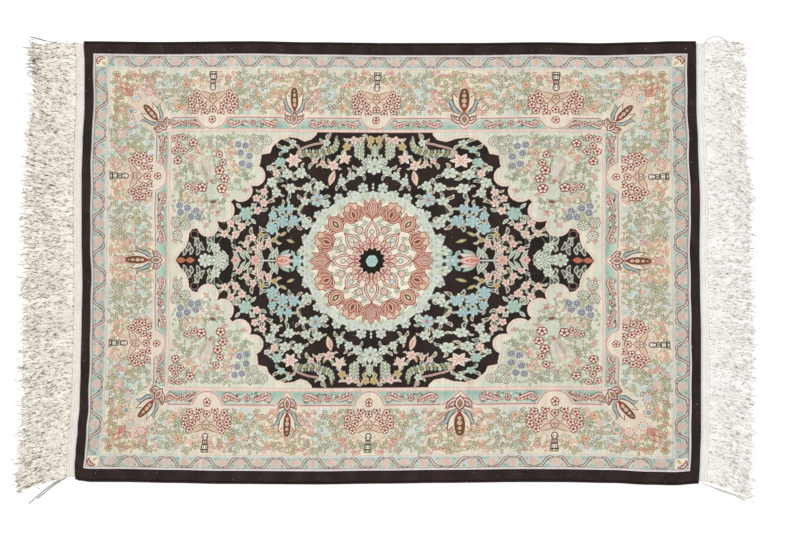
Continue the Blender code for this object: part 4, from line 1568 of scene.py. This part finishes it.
@dataclass
class FringedEnd:
    """One end of the rug: the flat-woven strip, its row of knots and the fringe."""

    shape: ClothShape
    side: int
    table: tuple
    cotton: bpy.types.Material
    yarn: bpy.types.Material
    seed: int
    tone: tuple[float, float, float]
    weave_tone: tuple[float, float, float]
    # The next two fields set painted shade: the tone of dark specks that stand for the shadowed gaps between the
    # fringe's crossing yarns, and how often they fall.
    shadow: tuple[float, float, float]
    gap_speck_share: float
    stray: float
    loose: tuple
    gap: float = 0.0003
    kilim_width: float = 0.0105
    row_width: float = 0.0030
    under_yarns: int = 380
    upper_yarns: int = 820
    steps: int = 20
    yarn_radius: float = 0.00078
    span: float = 0.992

    @property
    def label(self) -> str:
        """The end's name."""
        return "left" if self.side < 0 else "right"

    def line(self, across: np.ndarray, out: np.ndarray | float) -> np.ndarray:
        """Points at some distance out of the cloth's end line."""
        edge = self.shape.place(np.full(np.shape(across), float(self.side)), across)
        edge[..., 0] += self.side * out
        return edge

    def build(self) -> list[bpy.types.Object]:
        """Builds the end.

        Returns:
            Its pieces.
        """
        return [self.build_kilim(), self.build_knots(), self.build_fringe()]

    def build_kilim(self) -> bpy.types.Object:
        """The flat-woven strip, its wefts running along the end."""
        columns, rows = 15, 300
        out = np.linspace(self.gap, self.gap + self.kilim_width, columns)
        across = np.linspace(-self.span, self.span, rows)
        oo, aa = np.meshgrid(out, across)
        rng = np.random.default_rng(self.seed)
        weave = np.sin(np.arange(columns) * 2.1)[None] * np.cos(np.arange(rows) * math.pi)[:, None]
        height = 0.0016 + 0.00026 * weave + rng.normal(0, 0.00005, oo.shape)
        height[:, [0, -1]] = 0.0004
        height[[0, -1]] = 0.0004
        points = np.concatenate([self.line(aa, oo), height[..., None]], axis=-1)
        if self.side < 0:
            points = points[:, ::-1]
        tone = np.array(self.weave_tone) / 255
        seams = np.ones((columns - 1, 3))
        seams[5], seams[12] = (0.97, 0.97, 0.95), (0.92, 0.9, 0.82)
        wool = tone * (seams[::self.side] + 0.02 * np.sin(np.arange(columns - 1) * 2.1)[:, None]
                       + rng.normal(0, 0.03, (rows - 1, columns - 1, 1)))
        mesh = grid_mesh("kilim_weave_" + self.label, points, wool)
        mesh.uv_layers[0].name = "Yarn"
        return add_piece("kilim_weave_" + self.label, mesh, self.cotton, "kilim_" + self.label)

    def build_knots(self) -> bpy.types.Object:
        """The row of small knots that holds the wefts, with the warps drawn through."""
        count, steps = 470, 4
        rng = np.random.default_rng(self.seed + 1)
        across = np.linspace(-self.span, self.span, count)
        start = 2 * self.gap + self.kilim_width
        share = np.linspace(0, 1, steps)
        middle = self.line(across, 0.0)
        lean = rng.normal(0, 0.0002, count)
        x = middle[:, :1] + self.side * (start + self.row_width * share)[None]
        y = middle[:, 1:] + lean[:, None] * (share - 0.5) * 4
        z = np.full_like(x, 0.0013)
        paths = np.stack([x, y, z], axis=-1)
        bulge = np.sqrt(np.clip(1 - (2 * share - 1) ** 2, 0.08, 1))
        radii = np.stack([0.00078 * bulge, 0.00118 * bulge], axis=-1)[None] * rng.uniform(0.85, 1.08, (count, 1, 1))
        tones = np.array(self.tone) / 255 * rng.uniform(0.93, 1.0, (count, 1))
        mesh = tube_mesh("knot_row_" + self.label, paths, radii, 5, tones)
        return add_piece("knot_row_" + self.label, mesh, self.cotton, "fringe_" + self.label)

    def routes(self, rng: np.random.Generator, across: np.ndarray, length: np.ndarray, stray: float,
               layer: np.ndarray) -> np.ndarray:
        """Where some of the fringe's yarns lie.

        Args:
            rng: The source of their differences.
            across: Each yarn's place along the end.
            length: Its length.
            stray: How much the yarns cross each other, in degrees.
            layer: Each yarn's height over the floor.

        Returns:
            The points of each yarn.
        """
        count = len(across)
        root = self.line(across, 2 * self.gap + self.kilim_width + self.row_width * 0.7)
        swing = eased(self.table, across, 2)
        lean = 3 * np.sin(9 * across) + rng.normal(0, stray * 0.5, count)
        share = (np.arange(self.steps) + 0.5) / self.steps
        turn = swing[:, None] * np.minimum(1, 0.35 + 1.3 * share) + lean[:, None] * (0.4 + 0.6 * share)
        turn += stray * np.sin(2 * math.pi * (share * 1.6 + rng.uniform(0, 1, (count, 1))))
        crimp = rng.normal(0, stray * 2, (count, self.steps + 1))
        turn = np.radians(turn + crimp[:, 1:] - 0.75 * crimp[:, :-1])
        length = length * math.exp(3.6 * math.radians(stray) ** 2)
        step = np.stack([self.side * np.cos(turn), np.sin(turn)], axis=-1) * (length / self.steps)[:, None, None]
        flat = np.concatenate([np.zeros((count, 1, 2)), step.cumsum(axis=1)], axis=1) + root[:, None]
        share = np.linspace(0, 1, self.steps + 1)
        wave = np.sin(2 * math.pi * (share * rng.uniform(1, 3, (count, 1)) + rng.uniform(0, 1, (count, 1))))
        height = 0.0014 + (layer[:, None] - 0.0014) * np.minimum(1, share * 4) + 0.0004 * wave
        height *= 1 - 0.3 * share ** 3
        return np.concatenate([flat, height[..., None]], axis=-1)

    def build_fringe(self) -> bpy.types.Object:
        """The fringe: an even bed of yarns, the yarns that cross over it, dark specks of painted shade on both for the
        shadowed gaps between yarns, and strays.
        """
        rng = np.random.default_rng(self.seed + 2)
        paths, tones, radii = [], [], []
        tone, share = np.array(self.tone) / 255, np.linspace(0, 1, self.steps + 1)
        groups = ((self.under_yarns, 2.0, (0.0010, 0.0013), 0.95, 0.97, 1.5),
                  (self.upper_yarns, self.stray, (0.0018, 0.0030), 1.0, 1.0, 1.0))
        for count, stray, (low, high), reach, shade, thick in groups:
            across = np.linspace(-self.span, self.span, count) + rng.normal(0, 0.0012, count)
            length = eased(self.table, across) * MM * reach * (1 - np.abs(rng.normal(0, 0.03, count)))
            layer = rng.uniform(low, high, count)
            route = self.routes(rng, across, length, stray, layer)
            # Painted shade: dark specks along the yarns stand for the shadowed gaps between crossing yarns, more of
            # them towards the tips; on the left fringe the tip ends near one corner also turn dark brown.
            tips = 0.5 * (share > 0.8) * np.exp(-(((across - 0.86) / 0.08) ** 2))[:, None] * (self.side < 0)
            soil_and_gap_shade = rng.random((count, self.steps + 1)) < self.gap_speck_share * (0.5 + share) + tips
            gap_shading = 1 - soil_and_gap_shade[..., None] * (1 - np.array(self.shadow))
            tones.append(tone * shade * rng.uniform(0.93, 1.04, (count, 1, 1)) * gap_shading)
            width = self.yarn_radius * thick * rng.uniform(0.8, 1.15, (count, 1, 1))
            route[..., 2] = np.maximum(route[..., 2], width[..., 0])
            paths.append(route)
            radii.append(width * (1 - 0.45 * share ** 4)[None, :, None] * np.ones((1, 1, 2)))
        for stray in self.loose:
            points = np.array(smooth(stray, 6)) * MM * (self.side, 1) + self.shape.shift
            at = np.linspace(0, len(points) - 1, self.steps + 1)
            flat = [np.interp(at, np.arange(len(points)), points[:, axis]) for axis in (0, 1)]
            paths.append(np.stack([*flat, 0.0012 + 0.0006 * np.sin(3 * share)], axis=-1)[None])
            tones.append(np.ones((1, self.steps + 1, 3)) * tone * (0.58 if self.side < 0 else 0.78))
            radii.append(np.full((1, self.steps + 1, 2), self.yarn_radius * 1.35))
        mesh = tube_mesh("fringe_yarns_" + self.label, np.concatenate(paths), np.concatenate(radii), 3,
                         np.concatenate(tones))
        return add_piece("fringe_yarns_" + self.label, mesh, self.yarn, "fringe_" + self.label)


@dataclass
class Studio:
    """The pale floor, the soft lights and the camera straight above."""

    shape: ClothShape
    lens: float = 85.0
    sensor: float = 36.0
    metres_per_pixel: float = 0.001594
    frame_width: int = 800
    middle_pixel: tuple[float, float] = (388.8, 262.8)
    picture_middle: tuple[float, float] = (400.0, 267.0)
    floor_size: float = 12.0

    def build(self) -> None:
        """Sets up the floor, lights and camera."""
        self.build_floor()
        self.build_camera()
        self.build_lights()

    def build_floor(self) -> None:
        """A plain white floor."""
        half = self.floor_size / 2
        corners = np.array([[(-half, -half, -0.0003), (half, -half, -0.0003)], [(-half, half, -0.0003), (half, half, -0.0003)]])
        mesh = grid_mesh("floor", corners)
        floor = bpy.data.objects.new("floor", mesh)
        bpy.context.scene.collection.objects.link(floor)
        paper = bpy.data.materials.new("white_floor")
        paper.use_nodes = True
        shader = paper.node_tree.nodes["Principled BSDF"]
        shader.inputs["Base Color"].default_value = (0.9, 0.9, 0.9, 1)
        shader.inputs["Roughness"].default_value = 0.9
        shader.inputs["Emission Color"].default_value = (1, 1, 1, 1)
        shader.inputs["Emission Strength"].default_value = 0.35
        mesh.materials.append(paper)

    def build_camera(self) -> None:
        """The camera, looking straight down."""
        data = bpy.data.cameras.new("camera")
        data.lens = self.lens
        data.sensor_width = self.sensor
        camera = bpy.data.objects.new("camera", data)
        bpy.context.scene.collection.objects.link(camera)
        width = self.frame_width * self.metres_per_pixel
        x = (self.picture_middle[0] - self.middle_pixel[0]) * self.metres_per_pixel + self.shape.shift[0]
        y = (self.middle_pixel[1] - self.picture_middle[1]) * self.metres_per_pixel + self.shape.shift[1]
        camera.location = (x, y, width * self.lens / self.sensor + self.shape.pile_top)
        bpy.context.scene.camera = camera

    def build_lights(self) -> None:
        """One broad light above, one lower from the upper left, and an even surround."""
        for name, place, turn, size, power in (("overhead", (0.2, -0.3, 3.9), (0, 0), 4.0, 92),
                                               ("window", (-2.6, 2.2, 2.4), (-44, -48), 1.6, 46)):
            data = bpy.data.lights.new(name, "AREA")
            data.size = size
            data.energy = power
            light = bpy.data.objects.new(name, data)
            light.location = place
            light.rotation_euler = (math.radians(turn[0]), math.radians(turn[1]), 0)
            bpy.context.scene.collection.objects.link(light)
        world = bpy.data.worlds.new("surround")
        world.use_nodes = True
        world.node_tree.nodes["Background"].inputs["Color"].default_value = (1, 1, 1, 1)
        world.node_tree.nodes["Background"].inputs["Strength"].default_value = 0.45
        bpy.context.scene.world = world
        bpy.context.scene.view_settings.view_transform = "Standard"


def main() -> None:
    """Builds the rug on its floor."""
    logging.basicConfig(level=logging.INFO, format="%(name)s %(message)s")
    shape = ClothShape()
    chart = FloralChart(length=290.6, width=222.0, columns=660, rows=500)
    tufts = tuft_group()
    finish = WoolFinish("dyed_wool_pile", tufts).build()
    back = WoolFinish("knotted_back", tufts, depth=0.0003, sheen=0.02).build()
    edge = WoolFinish("overcast_wool", tufts, depth=0.0004, sheen=0.04, lightest=1.15).build()
    pieces = KnottedPile(shape, RugDesign(chart), finish, back, edge).build()
    cotton = CottonFinish("undyed_cotton").build()
    # Painted glow: the two fringes' yarns differ only in how much their own colour is emitted to brighten them.
    low_glow_yarn = CottonFinish("cotton_low_painted_glow", glow=0.08).build()
    high_glow_yarn = CottonFinish("cotton_high_painted_glow", glow=0.13).build()
    # Each fringe's shadow tone and speck share are painted shade for the gaps between its yarns.
    left = FringedEnd(shape, -1, LEFT_FRINGE, cotton, low_glow_yarn, seed=40, tone=(252, 246, 236),
                      weave_tone=(246, 240, 232), shadow=(0.5, 0.44, 0.36), gap_speck_share=0.17, stray=13,
                      loose=LEFT_STRAYS).build()
    right = FringedEnd(shape, 1, RIGHT_FRINGE, cotton, high_glow_yarn, seed=60, tone=(255, 251, 246),
                       weave_tone=(255, 255, 248), shadow=(0.7, 0.68, 0.66), gap_speck_share=0.13, stray=12,
                       loose=RIGHT_STRAYS).build()
    Studio(shape).build()
    log.info("the rug lies ready")


if __name__ == "__main__":
    main()
